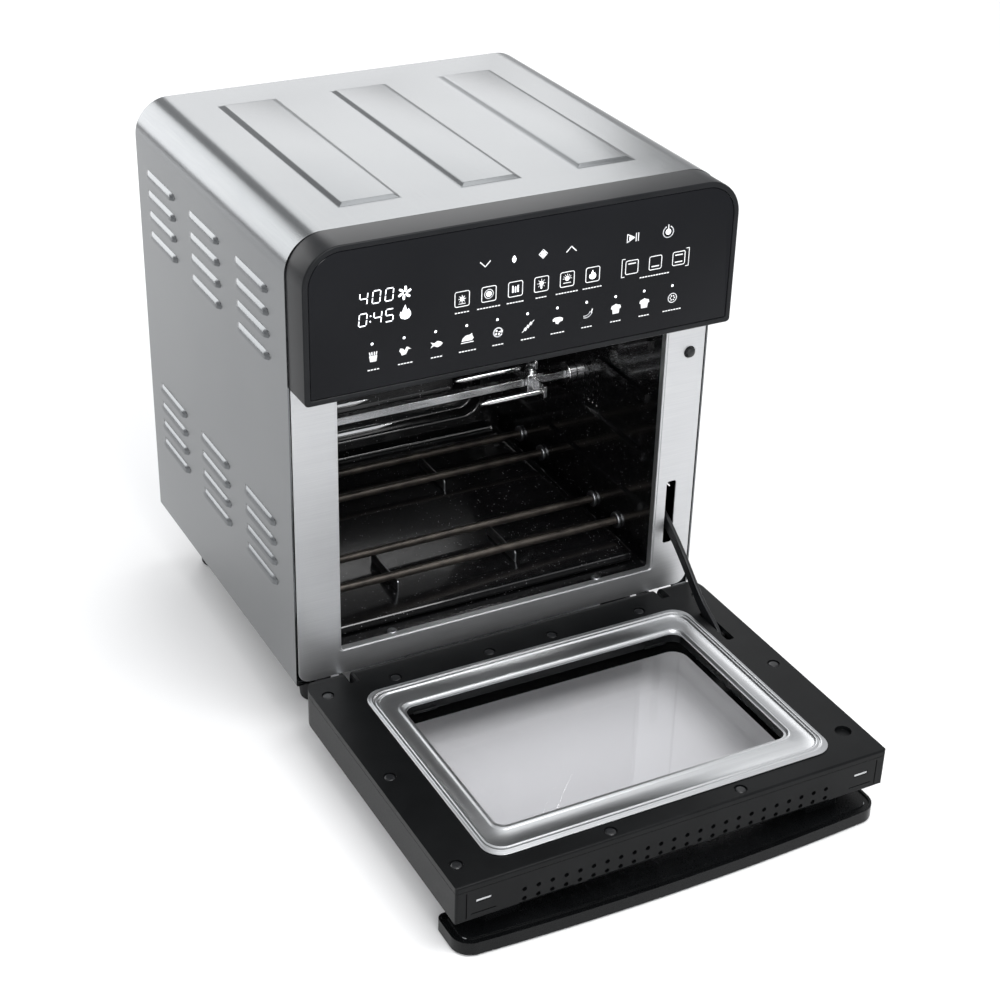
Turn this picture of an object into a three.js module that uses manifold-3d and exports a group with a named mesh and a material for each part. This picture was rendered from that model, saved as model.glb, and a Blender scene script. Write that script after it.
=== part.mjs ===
// Countertop air fryer oven: a steel cabinet with a drop-down door, a rotisserie
// and a fan heater in the roof. Millimetres, +X right, +Y to the back, +Z up.
// The origin is the bottom centre of the whole object with its door open.

import * as THREE from 'three';
import { mergeVertices } from 'three/addons/utils/BufferGeometryUtils.js';
import Module from 'manifold-3d';

const wasm = await Module();
wasm.setup();

// ---------------------------------------------------------------- dimensions
const gap = 0.3; // between pieces that touch

// Cabinet, measured from the front steel plane (y = 0) and its own underside (z = 0).
const cabinetWidth = 330;
const cabinetDepth = 293;
const cabinetHeight = 345;
const topRadius = 27;
const sheet = 1.2;
const halfWidth = cabinetWidth / 2;
const innerHalfWidth = halfWidth - sheet - gap;

// Front opening and the cooking cavity behind it.
const openingHalf = 131.3;
const openingBottom = 20.5;
const openingTop = 238;
const collarDepth = 16;
const cavityHalf = 134;
const cavityBack = 262;
const cavityFloor = 18.2;
const cavityTop = 240;
const cavityMiddle = (collarDepth + cavityBack) / 2;

// Control housing on the upper front.
const bezelDepth = 27.5;
const bezelBottom = 236;
const bezelHalf = 164;
const bezelRim = 4.5;

// Underbody and feet.
const panDepth = 18;
const panHalf = 143;
const panFront = 26;
const panBack = 280;
const footX = 131;
const footFrontY = 50;
const footBackY = 262;
const footRadius = 11;
const footDrop = 47.5; // cabinet underside to the worktop

// Door, in its own frame: origin on the hinge line, +Z up the closed door,
// +Y towards the cabinet. A quarter turn lays it open.
const hingeY = -16.5;
const hingeZ = -5.2;
const doorHalf = 164.8;
const doorThickness = 29;
const doorInner = doorThickness / 2;
const doorOuter = -doorThickness / 2;
const doorBottom = -10.5;
const doorTop = 238.5;
const doorOpenAngle = Math.PI / 2;
const coverThickness = 4.5;
const doorWall = 2.5;
const windowHalf = 114;
const windowBottom = 50;
const windowTop = 197;

// Hinges.
const hingeX = 130;
const bracketThickness = 3;
const pinRadius = 2.5;
const notchHalf = 3.6;
const notchReach = 8;

// Handle across the door's top edge.
const handleHalf = 163;
const handleInner = 207;
const handleEnd = 242;
const handleBow = 5;
const handleNear = -31.5;
const handleFar = -41;
const handlePostX = 125;

// Stay arm at the right of the door.
const stayX = 143.5;
const stayPivotY = 7.2;
const stayPivotZ = 60;
const stayAngle = THREE.MathUtils.degToRad(36);
const stayLength = 101;
const stayThickness = 3;

// Rotisserie.
const spitY = cavityMiddle;
const spitZ = 129;
const spitBar = 6;

// Fan and heaters.
const drumRadius = 86;
const drumHeight = 42;
const fanRadius = 68;
const fanShaft = 3;
const heaterTube = 3.2;

// Back end of the power inlet.
const glandX = 108;
const glandZ = 42;
const glandReach = 6;

// The whole object runs from the handle's bow to the inlet's collar.
const reachFront = hingeY - handleEnd - handleBow;
const reachBack = cabinetDepth + glandReach;
const middleY = (reachFront + reachBack) / 2;

// ------------------------------------------------------------------ finishes
function finish(color, roughness, metalness) {
  return new THREE.MeshStandardMaterial({ color, roughness, metalness });
}

const brushedSteel = finish('#a9abad', 0.38, 1);
const brightSteel = finish('#c4c6c8', 0.3, 1);
const galvanised = finish('#8f9294', 0.5, 1);
const blackEnamel = finish('#141416', 0.25, 0.2);
const satinPlastic = finish('#26282b', 0.5, 0);
const glossGlass = finish('#101114', 0.08, 0);
const blackRubber = finish('#17181a', 0.85, 0);
const boardGreen = finish('#1d5a38', 0.6, 0);
const smokedGlass = finish('#3c4043', 0.08, 0.1);
const heaterSheath = finish('#5c554e', 0.6, 0.8);
const frosted = finish('#e6e2d6', 0.35, 0);

// -------------------------------------------------------------- shape helpers
const alongX = new THREE.Matrix4().makeBasis(
  new THREE.Vector3(0, 1, 0),
  new THREE.Vector3(0, 0, 1),
  new THREE.Vector3(1, 0, 0),
);

// A solid block between two corners.
function block(x0, x1, y0, y1, z0, z1) {
  const geometry = new THREE.BoxGeometry(x1 - x0, y1 - y0, z1 - z0);
  return geometry.translate((x0 + x1) / 2, (y0 + y1) / 2, (z0 + z1) / 2);
}

// Rectangle with its own radius at each corner, from the lower left anticlockwise.
function rectangle(u0, u1, v0, v1, radii) {
  const [lowLeft, lowRight, highRight, highLeft] = Array.isArray(radii) ? radii : Array(4).fill(radii);
  const shape = new THREE.Shape();
  shape.moveTo(u0 + lowLeft, v0);
  shape.lineTo(u1 - lowRight, v0);
  if (lowRight) shape.absarc(u1 - lowRight, v0 + lowRight, lowRight, -Math.PI / 2, 0);
  shape.lineTo(u1, v1 - highRight);
  if (highRight) shape.absarc(u1 - highRight, v1 - highRight, highRight, 0, Math.PI / 2);
  shape.lineTo(u0 + highLeft, v1);
  if (highLeft) shape.absarc(u0 + highLeft, v1 - highLeft, highLeft, Math.PI / 2, Math.PI);
  shape.lineTo(u0, v0 + lowLeft);
  if (lowLeft) shape.absarc(u0 + lowLeft, v0 + lowLeft, lowLeft, Math.PI, 1.5 * Math.PI);
  return shape;
}

function circle(u, v, radius, sides = 16) {
  const points = [];
  for (let i = 0; i < sides; i += 1) {
    const angle = (2 * Math.PI * i) / sides;
    points.push(new THREE.Vector2(u + radius * Math.cos(angle), v + radius * Math.sin(angle)));
  }
  return new THREE.Shape(points);
}

// An outline made thick along one axis: x takes (y, z), y takes (x, z), z takes (x, y).
function slab(shape, axis, from, to, curveSegments = 5) {
  const geometry = new THREE.ExtrudeGeometry(shape, {
    depth: to - from,
    bevelEnabled: false,
    curveSegments,
  });
  if (axis === 'x') return geometry.applyMatrix4(alongX).translate(from, 0, 0);
  if (axis === 'y') return geometry.rotateX(Math.PI / 2).translate(0, to, 0);
  return geometry.translate(0, 0, from);
}

function rod(axis, u, v, radius, from, to, sides = 16) {
  return slab(circle(u, v, radius, sides), axis, from, to);
}

function pierced(shape, holes) {
  shape.holes.push(...holes);
  return shape;
}

// A body turned about +Z, from [radius, height] pairs that start and end on the axis.
function turned(profile, segments = 28) {
  const points = profile.map(([radius, height]) => new THREE.Vector2(radius, height));
  return new THREE.LatheGeometry(points, segments).rotateX(Math.PI / 2);
}

// A round bar bent along a smooth curve through the points.
function bentBar(points, radius, steps, sides = 8) {
  const path = new THREE.CatmullRomCurve3(points.map((p) => new THREE.Vector3(...p)), false, 'centripetal');
  return new THREE.ExtrudeGeometry(circle(0, 0, radius, sides), { steps, extrudePath: path, bevelEnabled: false });
}

function toSolid(geometry) {
  const bare = geometry.clone();
  bare.deleteAttribute('normal');
  bare.deleteAttribute('uv');
  const merged = mergeVertices(bare, 1e-4);
  const solid = new wasm.Manifold(new wasm.Mesh({
    numProp: 3,
    vertProperties: new Float32Array(merged.attributes.position.array),
    triVerts: new Uint32Array(merged.index.array),
  }));
  return solid;
}

function toGeometry(solid) {
  const mesh = solid.getMesh();
  const geometry = new THREE.BufferGeometry();
  geometry.setAttribute('position', new THREE.BufferAttribute(mesh.vertProperties, 3));
  geometry.setIndex(new THREE.BufferAttribute(mesh.triVerts, 1));
  geometry.computeVertexNormals();
  return geometry;
}

function joined(...geometries) {
  return toGeometry(geometries.map(toSolid).reduce((whole, next) => whole.add(next)));
}

function cut(geometry, ...cutters) {
  return toGeometry(cutters.map(toSolid).reduce((whole, next) => whole.subtract(next), toSolid(geometry)));
}

function common(first, second) {
  return toGeometry(toSolid(first).intersect(toSolid(second)));
}

function add(parent, name, geometry, material) {
  const mesh = new THREE.Mesh(geometry, material);
  mesh.name = name;
  parent.add(mesh);
}

const sides = [['left', -1], ['right', 1]];

// ------------------------------------------------------------------- cabinet
const appliance = new THREE.Group();
const cabinet = new THREE.Group();
cabinet.position.set(0, -middleY, footDrop);
appliance.add(cabinet);

// Arch outline of the cabinet, inset by a distance.
function archOutline(inset, bottom, radius) {
  const round = radius - inset;
  return rectangle(-halfWidth + inset, halfWidth - inset, bottom, cabinetHeight - inset, [0, 0, round, round]);
}

// Louvres: on each side, three columns with a group of four above and a group below.
const louvreLength = 58;
const louvreHeight = 4;
const louvrePitch = 16.2;
const louvreColumns = [60, 150.5, 241];
const louvreBases = [71, 248];
const louvresInGroup = 4;

function louvreSlots() {
  const slots = [];
  for (const y of louvreColumns) {
    for (const base of louvreBases) {
      for (let i = 0; i < louvresInGroup; i += 1) {
        const z = base + i * louvrePitch;
        slots.push(block(
          -halfWidth - 1,
          halfWidth + 1,
          y - louvreLength / 2,
          y + louvreLength / 2,
          z - louvreHeight / 2,
          z + louvreHeight / 2,
        ));
      }
    }
  }
  return slots;
}

// Three long panels embossed upwards in the roof.
const embossHeight = 2;
const embossCentres = [-90, 0, 90];
const embossHalf = 21;
const embossFront = 34;
const embossBack = 252;

function embosses() {
  return embossCentres.map((x) => block(
    x - embossHalf,
    x + embossHalf,
    embossFront,
    embossBack,
    cabinetHeight - sheet / 2,
    cabinetHeight + embossHeight,
  ));
}

function outerShell() {
  const flange = 14;
  const arch = slab(archOutline(0, 0, topRadius), 'y', 0, cabinetDepth, 7);
  const inside = slab(archOutline(sheet, sheet, topRadius), 'y', -1, cabinetDepth + 1, 7);
  const floor = block(-halfWidth + flange, halfWidth - flange, -1, cabinetDepth + 1, -1, sheet + 1);
  return joined(cut(arch, inside, floor, ...louvreSlots()), ...embosses());
}
add(cabinet, 'outer_shell', outerShell(), brushedSteel);

// The steel face round the opening, with low round corners.
const staySlot = { bottom: 42, top: 96, near: 139.5, far: 147.5 };
const switchX = 150.5;
const switchZ = 202.6;
const switchHole = 4.5;
// Behind the touch panel, for the cable to the power board.
const cableWindow = { half: 60, bottom: 275, top: 300, radius: 3 };

function frontFrame() {
  const lowRadius = 9;
  const highRadius = topRadius - sheet - gap;
  const outline = rectangle(
    -innerHalfWidth,
    innerHalfWidth,
    sheet + gap,
    cabinetHeight - sheet - gap,
    [lowRadius, lowRadius, highRadius, highRadius],
  );
  const opening = rectangle(-openingHalf, openingHalf, openingBottom, openingTop, 2);
  const slot = rectangle(staySlot.near, staySlot.far, staySlot.bottom, staySlot.top, 1);
  const cables = rectangle(
    -cableWindow.half,
    cableWindow.half,
    cableWindow.bottom,
    cableWindow.top,
    cableWindow.radius,
  );
  const switchBore = circle(switchX, switchZ, switchHole, 14);
  return slab(pierced(outline, [opening, slot, cables, switchBore]), 'y', 0, sheet, 6);
}
add(cabinet, 'front_frame', frontFrame(), brightSteel);

// Back cover with two rows of upright vents and the power inlet hole.
function backPanel() {
  const setIn = 1.5;
  const glandHole = 9.3;
  const y1 = cabinetDepth - setIn;
  const ventRows = [72, 262];
  const ventHalf = 2.2;
  const ventHeight = 32;
  const ventPitch = 17;
  const ventsEachSide = 6;
  const holes = [rod('y', glandX, glandZ, glandHole, y1 - sheet - 1, y1 + 1, 16)];
  for (const bottom of ventRows) {
    for (let i = -ventsEachSide; i <= ventsEachSide; i += 1) {
      const x = i * ventPitch;
      holes.push(block(x - ventHalf, x + ventHalf, y1 - sheet - 1, y1 + 1, bottom, bottom + ventHeight));
    }
  }
  const inset = sheet + gap;
  return cut(slab(archOutline(inset, inset, topRadius), 'y', y1 - sheet, y1, 6), ...holes);
}
add(cabinet, 'back_panel', backPanel(), galvanised);

function basePan() {
  const plateBottom = sheet + gap;
  const plateTop = plateBottom + sheet;
  const plate = block(-innerHalfWidth, innerHalfWidth, 2, cabinetDepth - 4, plateBottom, plateTop);
  const pan = slab(rectangle(-panHalf, panHalf, panFront, panBack, 14), 'z', -panDepth, plateTop);
  const hollow = slab(
    rectangle(-panHalf + sheet, panHalf - sheet, panFront + sheet, panBack - sheet, 13),
    'z',
    -panDepth + sheet,
    plateTop + 1,
  );
  const vents = [];
  const ventsEachSide = 3;
  const ventPitch = 30;
  const ventHalf = 2;
  const ventFront = 120;
  const ventBack = 190;
  for (let i = -ventsEachSide; i <= ventsEachSide; i += 1) {
    const x = i * ventPitch;
    vents.push(block(x - ventHalf, x + ventHalf, ventFront, ventBack, -panDepth - 1, -panDepth + 2));
  }
  return cut(joined(plate, pan), hollow, ...vents);
}
add(cabinet, 'base_pan', basePan(), blackEnamel);

// A foot: a short cone under the pan with a recess for its screw.
function foot() {
  const top = -panDepth - gap;
  const recess = 4;
  const taper = 3;
  return turned([
    [0, -footDrop + recess],
    [recess, -footDrop + recess],
    [recess, -footDrop],
    [footRadius - 1, -footDrop],
    [footRadius, -footDrop + 1.5],
    [footRadius + taper, top],
    [0, top],
  ], 20);
}
for (const [side, sign] of sides) {
  add(cabinet, `foot_front_${side}`, foot().translate(sign * footX, footFrontY, 0), blackRubber);
  add(cabinet, `foot_rear_${side}`, foot().translate(sign * footX, footBackY, 0), blackRubber);
}

// -------------------------------------------------------------------- cavity
const linerWall = 1.2;
const collarInner = openingHalf;

function cavityCollar() {
  const bottom = openingBottom - gap;
  const outline = rectangle(
    -collarInner - linerWall,
    collarInner + linerWall,
    bottom - linerWall,
    openingTop + linerWall,
    2,
  );
  const mouth = rectangle(-collarInner, collarInner, bottom, openingTop, 2);
  return slab(pierced(outline, [mouth]), 'y', sheet + gap, collarDepth);
}
add(cabinet, 'cavity_collar', cavityCollar(), blackEnamel);

// Side walls with pressed rack guides that stand into the cavity.
const wallFront = collarDepth + gap;
const guideHeights = [62, 106, 156, 200];
const guideDepth = 2.4;
const guideHeight = 7;

function sideWall(sign) {
  const inner = sign * cavityHalf;
  const outer = sign * (cavityHalf + linerWall);
  const bottom = cavityFloor + gap;
  let wall = block(Math.min(inner, outer), Math.max(inner, outer), wallFront, cavityBack, bottom, cavityTop - gap);
  for (const z of guideHeights) {
    const proud = inner - sign * guideDepth;
    const deep = inner + sign * 0.6;
    const low = Math.min(proud, deep);
    const high = Math.max(proud, deep);
    wall = joined(wall, block(low, high, wallFront + 10, cavityBack - 16, z - guideHeight / 2, z + guideHeight / 2));
  }
  return wall;
}

const socketBore = 9.5;
const heaterLegs = [58, 96, 182, 220];
const lowerHeaterZ = 34;
const lampY = 108;
const lampZ = 182;
const lampRadius = 15;

function rightWall() {
  const x0 = cavityHalf - guideDepth - 1;
  const x1 = cavityHalf + linerWall + 1;
  const legs = heaterLegs.map((y) => rod('x', y, lowerHeaterZ, heaterTube + gap + 0.3, x0, x1, 12));
  return cut(
    sideWall(1),
    rod('x', spitY, spitZ, socketBore, x0, x1),
    rod('x', lampY, lampZ - 3, lampRadius + gap, x0, x1, 20),
    ...legs,
  );
}
add(cabinet, 'cavity_left_wall', sideWall(-1), blackEnamel);
add(cabinet, 'cavity_right_wall', rightWall(), blackEnamel);

add(
  cabinet,
  'cavity_floor',
  block(-cavityHalf - linerWall, cavityHalf + linerWall, wallFront, cavityBack, cavityFloor - linerWall, cavityFloor),
  blackEnamel,
);

// Rear wall with a shallow pressed recess.
function rearWall() {
  const y0 = cavityBack + gap;
  const recessDepth = 12;
  const recessHalf = 116;
  const recessBottom = 38;
  const recessTop = 216;
  const recessRadius = 15;
  const recess = rectangle(-recessHalf, recessHalf, recessBottom, recessTop, recessRadius);
  const bowlOutline = rectangle(
    -recessHalf - linerWall,
    recessHalf + linerWall,
    recessBottom - linerWall,
    recessTop + linerWall,
    recessRadius + linerWall,
  );
  const bowl = slab(bowlOutline, 'y', y0, y0 + recessDepth + linerWall);
  const half = cavityHalf + linerWall;
  const plate = block(-half, half, y0, y0 + linerWall, cavityFloor - linerWall, cavityTop + linerWall);
  return cut(joined(plate, bowl), slab(recess, 'y', y0 - 1, y0 + recessDepth));
}
add(cabinet, 'cavity_rear_wall', rearWall(), blackEnamel);

// Roof with the fan's opening, and the drum that the fan turns in.
function cavityRoof() {
  const half = cavityHalf + linerWall;
  const outline = rectangle(-half, half, wallFront, cavityBack, 0);
  const opening = circle(0, cavityMiddle, drumRadius - 3, 36);
  return slab(pierced(outline, [opening]), 'z', cavityTop, cavityTop + linerWall);
}
add(cabinet, 'cavity_roof', cavityRoof(), blackEnamel);

const drumBottom = cavityTop + linerWall + gap;
const drumTop = drumBottom + drumHeight;
const coilRadius = 72;
const coilZ = cavityTop + 5;
const coilLeadAngle = 0.16;

function fanDrum() {
  const shellThickness = 1.2;
  const drum = turned([
    [fanShaft + 2, drumTop - shellThickness],
    [drumRadius - shellThickness - 4, drumTop - shellThickness],
    [drumRadius - shellThickness, drumTop - shellThickness - 4],
    [drumRadius - shellThickness, drumBottom],
    [drumRadius, drumBottom],
    [drumRadius, drumTop - 4],
    [drumRadius - 4, drumTop],
    [fanShaft + 2, drumTop],
    [fanShaft + 2, drumTop - shellThickness],
  ], 36);
  const leadHoles = [-1, 1].map((sign) => {
    const angle = sign * coilLeadAngle;
    const x = coilRadius * Math.cos(angle);
    const y = coilRadius * Math.sin(angle);
    return rod('z', x, y, heaterTube + 1.6, drumTop - 3, drumTop + 2, 10);
  });
  return cut(drum, ...leadHoles);
}
add(cabinet, 'fan_drum', fanDrum().translate(0, cavityMiddle, 0), galvanised);

// Ring heater under the fan, its two ends rising through the drum.
function upperHeater() {
  const points = [];
  const turns = 14;
  const leadTop = drumTop + 8;
  const first = coilLeadAngle;
  const last = 2 * Math.PI - coilLeadAngle;
  const at = (angle, z) => [coilRadius * Math.cos(angle), cavityMiddle + coilRadius * Math.sin(angle), z];
  points.push(at(first, leadTop), at(first, coilZ + 12));
  for (let i = 1; i < turns; i += 1) {
    points.push(at(first + ((last - first) * i) / turns, coilZ));
  }
  points.push(at(last, coilZ + 12), at(last, leadTop));
  return bentBar(points, heaterTube, 56, 6);
}
add(cabinet, 'upper_heating_element', upperHeater(), heaterSheath);

// Round guard under the ring heater, cut into rings by arc-shaped slots.
function fanGuard() {
  const outline = circle(0, cavityMiddle, drumRadius + 4, 40);
  const bands = [[14, 26, 3], [31, 43, 4], [48, 61, 6], [66, 80, 8]];
  for (const [inner, outer, count] of bands) {
    for (let i = 0; i < count; i += 1) {
      const pitch = (2 * Math.PI) / count;
      const rib = 4 / outer;
      const start = i * pitch + rib;
      const end = (i + 1) * pitch - rib;
      const hole = new THREE.Path();
      const steps = Math.max(2, Math.round((end - start) * 3));
      for (let k = 0; k <= steps; k += 1) {
        const angle = start + ((end - start) * k) / steps;
        const x = outer * Math.cos(angle);
        const y = cavityMiddle + outer * Math.sin(angle);
        if (k === 0) hole.moveTo(x, y);
        else hole.lineTo(x, y);
      }
      for (let k = steps; k >= 0; k -= 1) {
        const angle = start + ((end - start) * k) / steps;
        hole.lineTo(inner * Math.cos(angle), cavityMiddle + inner * Math.sin(angle));
      }
      hole.closePath();
      outline.holes.push(hole);
    }
  }
  return slab(outline, 'z', cavityTop - gap - 1.2, cavityTop - gap);
}
add(cabinet, 'fan_guard', fanGuard(), galvanised);

const fanBottom = drumBottom + 14;
const fanHeight = 16;

function fanWheel() {
  const hubRadius = 14;
  const fanTop = fanBottom + fanHeight;
  const plateThickness = 1.5;
  const pieces = [
    rod('z', 0, 0, hubRadius, fanBottom - 3, fanTop, 20),
    rod('z', 0, 0, fanRadius - 4, fanTop - plateThickness, fanTop, 32),
  ];
  const blades = 12;
  const bladeHalf = 0.8;
  for (let i = 0; i < blades; i += 1) {
    const blade = block(hubRadius - 2, fanRadius, -bladeHalf, bladeHalf, fanBottom, fanTop - 1);
    pieces.push(blade.rotateZ((2 * Math.PI * i) / blades));
  }
  return cut(joined(...pieces), rod('z', 0, 0, fanShaft + gap, fanBottom - 5, fanTop + 1, 12));
}
add(cabinet, 'fan_wheel', fanWheel().translate(0, cavityMiddle, 0), galvanised);

// Shaded-pole motor over the drum, its shaft running down into the fan.
function fanMotor() {
  const low = drumTop + 6;
  const high = drumTop + 44;
  const coreHalfX = 36;
  const coreHalfY = 30;
  const capRadius = 20;
  return joined(
    block(-coreHalfX, coreHalfX, cavityMiddle - coreHalfY, cavityMiddle + coreHalfY, low + 8, high - 6),
    rod('z', 0, cavityMiddle, capRadius, low, high, 20),
    rod('z', 0, cavityMiddle, fanShaft, fanBottom + 4, low + 1, 12),
  );
}
add(cabinet, 'fan_motor', fanMotor(), galvanised);

// Hairpin heaters over the floor, their ends out through the right wall.
function hairpinHeater(nearY, farY) {
  const end = cavityHalf + 8;
  const middle = 40;
  const bend = -104;
  const half = (farY - nearY) / 2;
  const points = [[end, nearY, lowerHeaterZ], [middle, nearY, lowerHeaterZ], [bend, nearY, lowerHeaterZ]];
  for (let i = 1; i < 6; i += 1) {
    const angle = (Math.PI * i) / 6;
    points.push([bend - half * Math.sin(angle), nearY + half - half * Math.cos(angle), lowerHeaterZ]);
  }
  points.push([bend, farY, lowerHeaterZ], [middle, farY, lowerHeaterZ], [end, farY, lowerHeaterZ]);
  return bentBar(points, heaterTube, 32, 6);
}
add(cabinet, 'lower_heater_front', hairpinHeater(heaterLegs[0], heaterLegs[1]), heaterSheath);
add(cabinet, 'lower_heater_rear', hairpinHeater(heaterLegs[2], heaterLegs[3]), heaterSheath);

function crumbTray() {
  const bottom = openingBottom + 0.6;
  const half = 127;
  const front = 19;
  const back = 256;
  const rim = 6;
  const wall = 1;
  const outer = block(-half, half, front, back, bottom, bottom + rim);
  const inner = block(-half + wall, half - wall, front + wall, back - wall, bottom + wall, bottom + rim + 2);
  return cut(outer, inner);
}
add(cabinet, 'crumb_tray', crumbTray(), blackEnamel);

// Lamp behind a lens in the right wall, and the thermostat's probe.
function ovenLamp() {
  const holderNear = cavityHalf + 8;
  const holderHalf = 12;
  const bulbRadius = 6;
  return joined(
    block(holderNear, holderNear + 14, lampY - holderHalf, lampY + holderHalf, lampZ - 14, lampZ + 8),
    rod('x', lampY, lampZ - 3, bulbRadius, cavityHalf + 2, holderNear + 1, 14),
  );
}
add(cabinet, 'oven_lamp', ovenLamp(), frosted);
add(cabinet, 'lamp_lens', rod('x', lampY, lampZ - 3, lampRadius, cavityHalf - 1.5, cavityHalf + 1.2, 20), smokedGlass);

function temperatureProbe() {
  const y = cavityBack - 51;
  const z = 226;
  const bulbRadius = 2;
  const bracketHalf = 5;
  return joined(
    block(cavityHalf - 14, cavityHalf - 2, y - 1, y + 1, z - bracketHalf, z + bracketHalf),
    rod('x', y, z, bulbRadius, cavityHalf - 44, cavityHalf - 10, 10),
  );
}
add(cabinet, 'temperature_probe', temperatureProbe(), galvanised);

// ---------------------------------------------------------------- rotisserie
const motorX = cavityHalf + linerWall + 3;
const socketFace = cavityHalf - 7;

const driveShaft = 4;

function rotisserieMotor() {
  const canRadius = 24;
  const canDepth = 20;
  const strapReach = 34;
  const strapHalf = 8;
  return cut(
    joined(
      rod('x', spitY, spitZ, canRadius, motorX, motorX + canDepth, 24),
      block(motorX, motorX + 2, spitY - strapReach, spitY + strapReach, spitZ - strapHalf, spitZ + strapHalf),
    ),
    rod('x', spitY, spitZ, driveShaft + gap, motorX - 1, motorX + 12, 12),
  );
}
add(cabinet, 'rotisserie_motor', rotisserieMotor(), galvanised);

// Cup with a square seat that the spit's end sits in, on a shaft into the motor.
function driveSocket() {
  const seat = spitBar / 2 + 0.5;
  const seatDepth = 9;
  const cupRadius = 8.5;
  return cut(
    joined(
      rod('x', spitY, spitZ, cupRadius, socketFace, cavityHalf + 3.5, 20),
      rod('x', spitY, spitZ, driveShaft, cavityHalf + 3, motorX + 10, 12),
    ),
    block(socketFace - 1, socketFace + seatDepth, spitY - seat, spitY + seat, spitZ - seat, spitZ + seat),
  );
}
add(cabinet, 'drive_socket', driveSocket(), brightSteel);

const spitLeft = -120.5;
const spitRight = socketFace + 8;
const neckX = -114.5;

function spitShaft() {
  const half = spitBar / 2;
  const collar = 4.6;
  const neck = 2.6;
  const tip = turned([[0, -2], [3.4, -2], [3.4, 0], [1, 9.5], [0, 10]], 12);
  return joined(
    block(neckX + 4, spitRight, spitY - half, spitY + half, spitZ - half, spitZ + half),
    rod('x', spitY, spitZ, collar, spitLeft, neckX - 2.5, 16),
    rod('x', spitY, spitZ, neck, neckX - 3, neckX + 4.5, 12),
    rod('x', spitY, spitZ, collar, neckX + 4, neckX + 8, 16),
    tip.rotateY(-Math.PI / 2).translate(spitLeft, spitY, spitZ),
  );
}
add(cabinet, 'spit_shaft', spitShaft(), brightSteel);

// Open-topped rest that carries the spit's groove at the left.
function spitRest() {
  const half = 11;
  const low = spitZ - 18;
  const high = spitZ + 5;
  const throat = 3.2;
  const outline = new THREE.Shape();
  outline.moveTo(spitY - half, low);
  outline.lineTo(spitY + half, low);
  outline.lineTo(spitY + half, high);
  outline.lineTo(spitY + throat + 4, high);
  outline.lineTo(spitY + throat, spitZ + 1);
  outline.lineTo(spitY + throat, spitZ - throat);
  outline.lineTo(spitY - throat, spitZ - throat);
  outline.lineTo(spitY - throat, spitZ + 1);
  outline.lineTo(spitY - throat - 4, high);
  outline.lineTo(spitY - half, high);
  outline.closePath();
  const wall = -cavityHalf + gap;
  return joined(
    slab(outline, 'x', neckX - 1, neckX + 1),
    block(wall, neckX + 1, spitY - half, spitY + half, low, low + 2),
    block(wall, wall + 1.5, spitY - half - 6, spitY + half + 6, low, low + 16),
  );
}
add(cabinet, 'spit_rest', spitRest(), brightSteel);

// Meat fork: a bridge with a hub round the bar and two tines that point inwards.
const forkX = 96;
const tineLength = 62;
const tineSpread = 22;

function meatFork(sign) {
  const half = spitBar / 2 + 0.4;
  const hubReach = 7;
  const hubHalf = 8;
  const tineRadius = 2.4;
  const pointLength = 14;
  const hub = block(-hubReach, hubReach, -hubHalf, hubHalf, -hubHalf, hubHalf);
  const bridge = block(-1.5, 1.5, -tineSpread - 3, tineSpread + 3, -5, 5);
  const tines = [-1, 1].map((end) => {
    const tine = turned([[0, -1], [tineRadius, -1], [tineRadius, tineLength - pointLength], [0, tineLength]], 8);
    return tine.rotateY((-sign * Math.PI) / 2).translate(0, end * tineSpread, 0);
  });
  const body = cut(joined(hub, bridge, ...tines), block(-9, 9, -half, half, -half, half));
  const bored = cut(body, rod('z', 0, 0, 2.4, 3, 10, 10));
  return bored.translate(sign * forkX, spitY, spitZ);
}

function forkScrew(sign) {
  const foot = spitBar / 2 + gap;
  const threadRadius = 2;
  const collarRadius = 4.5;
  const wingHalf = 8;
  const wingTop = 22;
  const screw = joined(
    rod('z', 0, 0, threadRadius, foot, 13, 10),
    rod('z', 0, 0, collarRadius, 9, 12, 12),
    block(-1.4, 1.4, -wingHalf, wingHalf, 11, wingTop),
  );
  return screw.translate(sign * forkX, spitY, spitZ);
}
for (const [side, sign] of sides) {
  add(cabinet, `meat_fork_${side}`, meatFork(sign), brightSteel);
  add(cabinet, `fork_screw_${side}`, forkScrew(sign), brightSteel);
}

// ------------------------------------------------------------ control housing
const bezelBack = -gap;
const glassFront = -bezelDepth + 0.3;
const glassThickness = 3;

function bezelOutline(inset) {
  const high = topRadius - inset;
  const low = Math.max(4 - inset / 2, 1);
  return rectangle(
    -bezelHalf + inset,
    bezelHalf - inset,
    bezelBottom + inset,
    cabinetHeight - inset,
    [low, low, high, high],
  );
}

function controlBezel() {
  const frontWall = 5.5;
  const body = slab(bezelOutline(0), 'y', -bezelDepth, bezelBack, 8);
  const hollow = slab(bezelOutline(2.5), 'y', -bezelDepth + frontWall, bezelBack + 1, 8);
  const pocket = slab(bezelOutline(bezelRim), 'y', -bezelDepth - 1, glassFront + glassThickness + gap, 8);
  const window = slab(bezelOutline(bezelRim + 6), 'y', -bezelDepth - 2, -bezelDepth + frontWall + 1, 6);
  return cut(body, hollow, pocket, window);
}
add(cabinet, 'control_bezel', controlBezel(), satinPlastic);
add(
  cabinet,
  'control_glass',
  slab(bezelOutline(bezelRim + gap), 'y', glassFront, glassFront + glassThickness, 8),
  glossGlass,
);

function touchBoard() {
  const boardHalf = 140;
  const boardFront = -18;
  const boardBack = -16.4;
  const board = block(-boardHalf, boardHalf, boardFront, boardBack, 250, 318);
  const display = block(-128, -90, boardFront - 4.5, boardFront + 0.5, 272, 306);
  const chip = block(-12, 8, boardBack - 0.6, boardBack + 2.9, 276, 294);
  return joined(board, display, chip);
}
add(cabinet, 'touch_board', touchBoard(), boardGreen);

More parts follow.
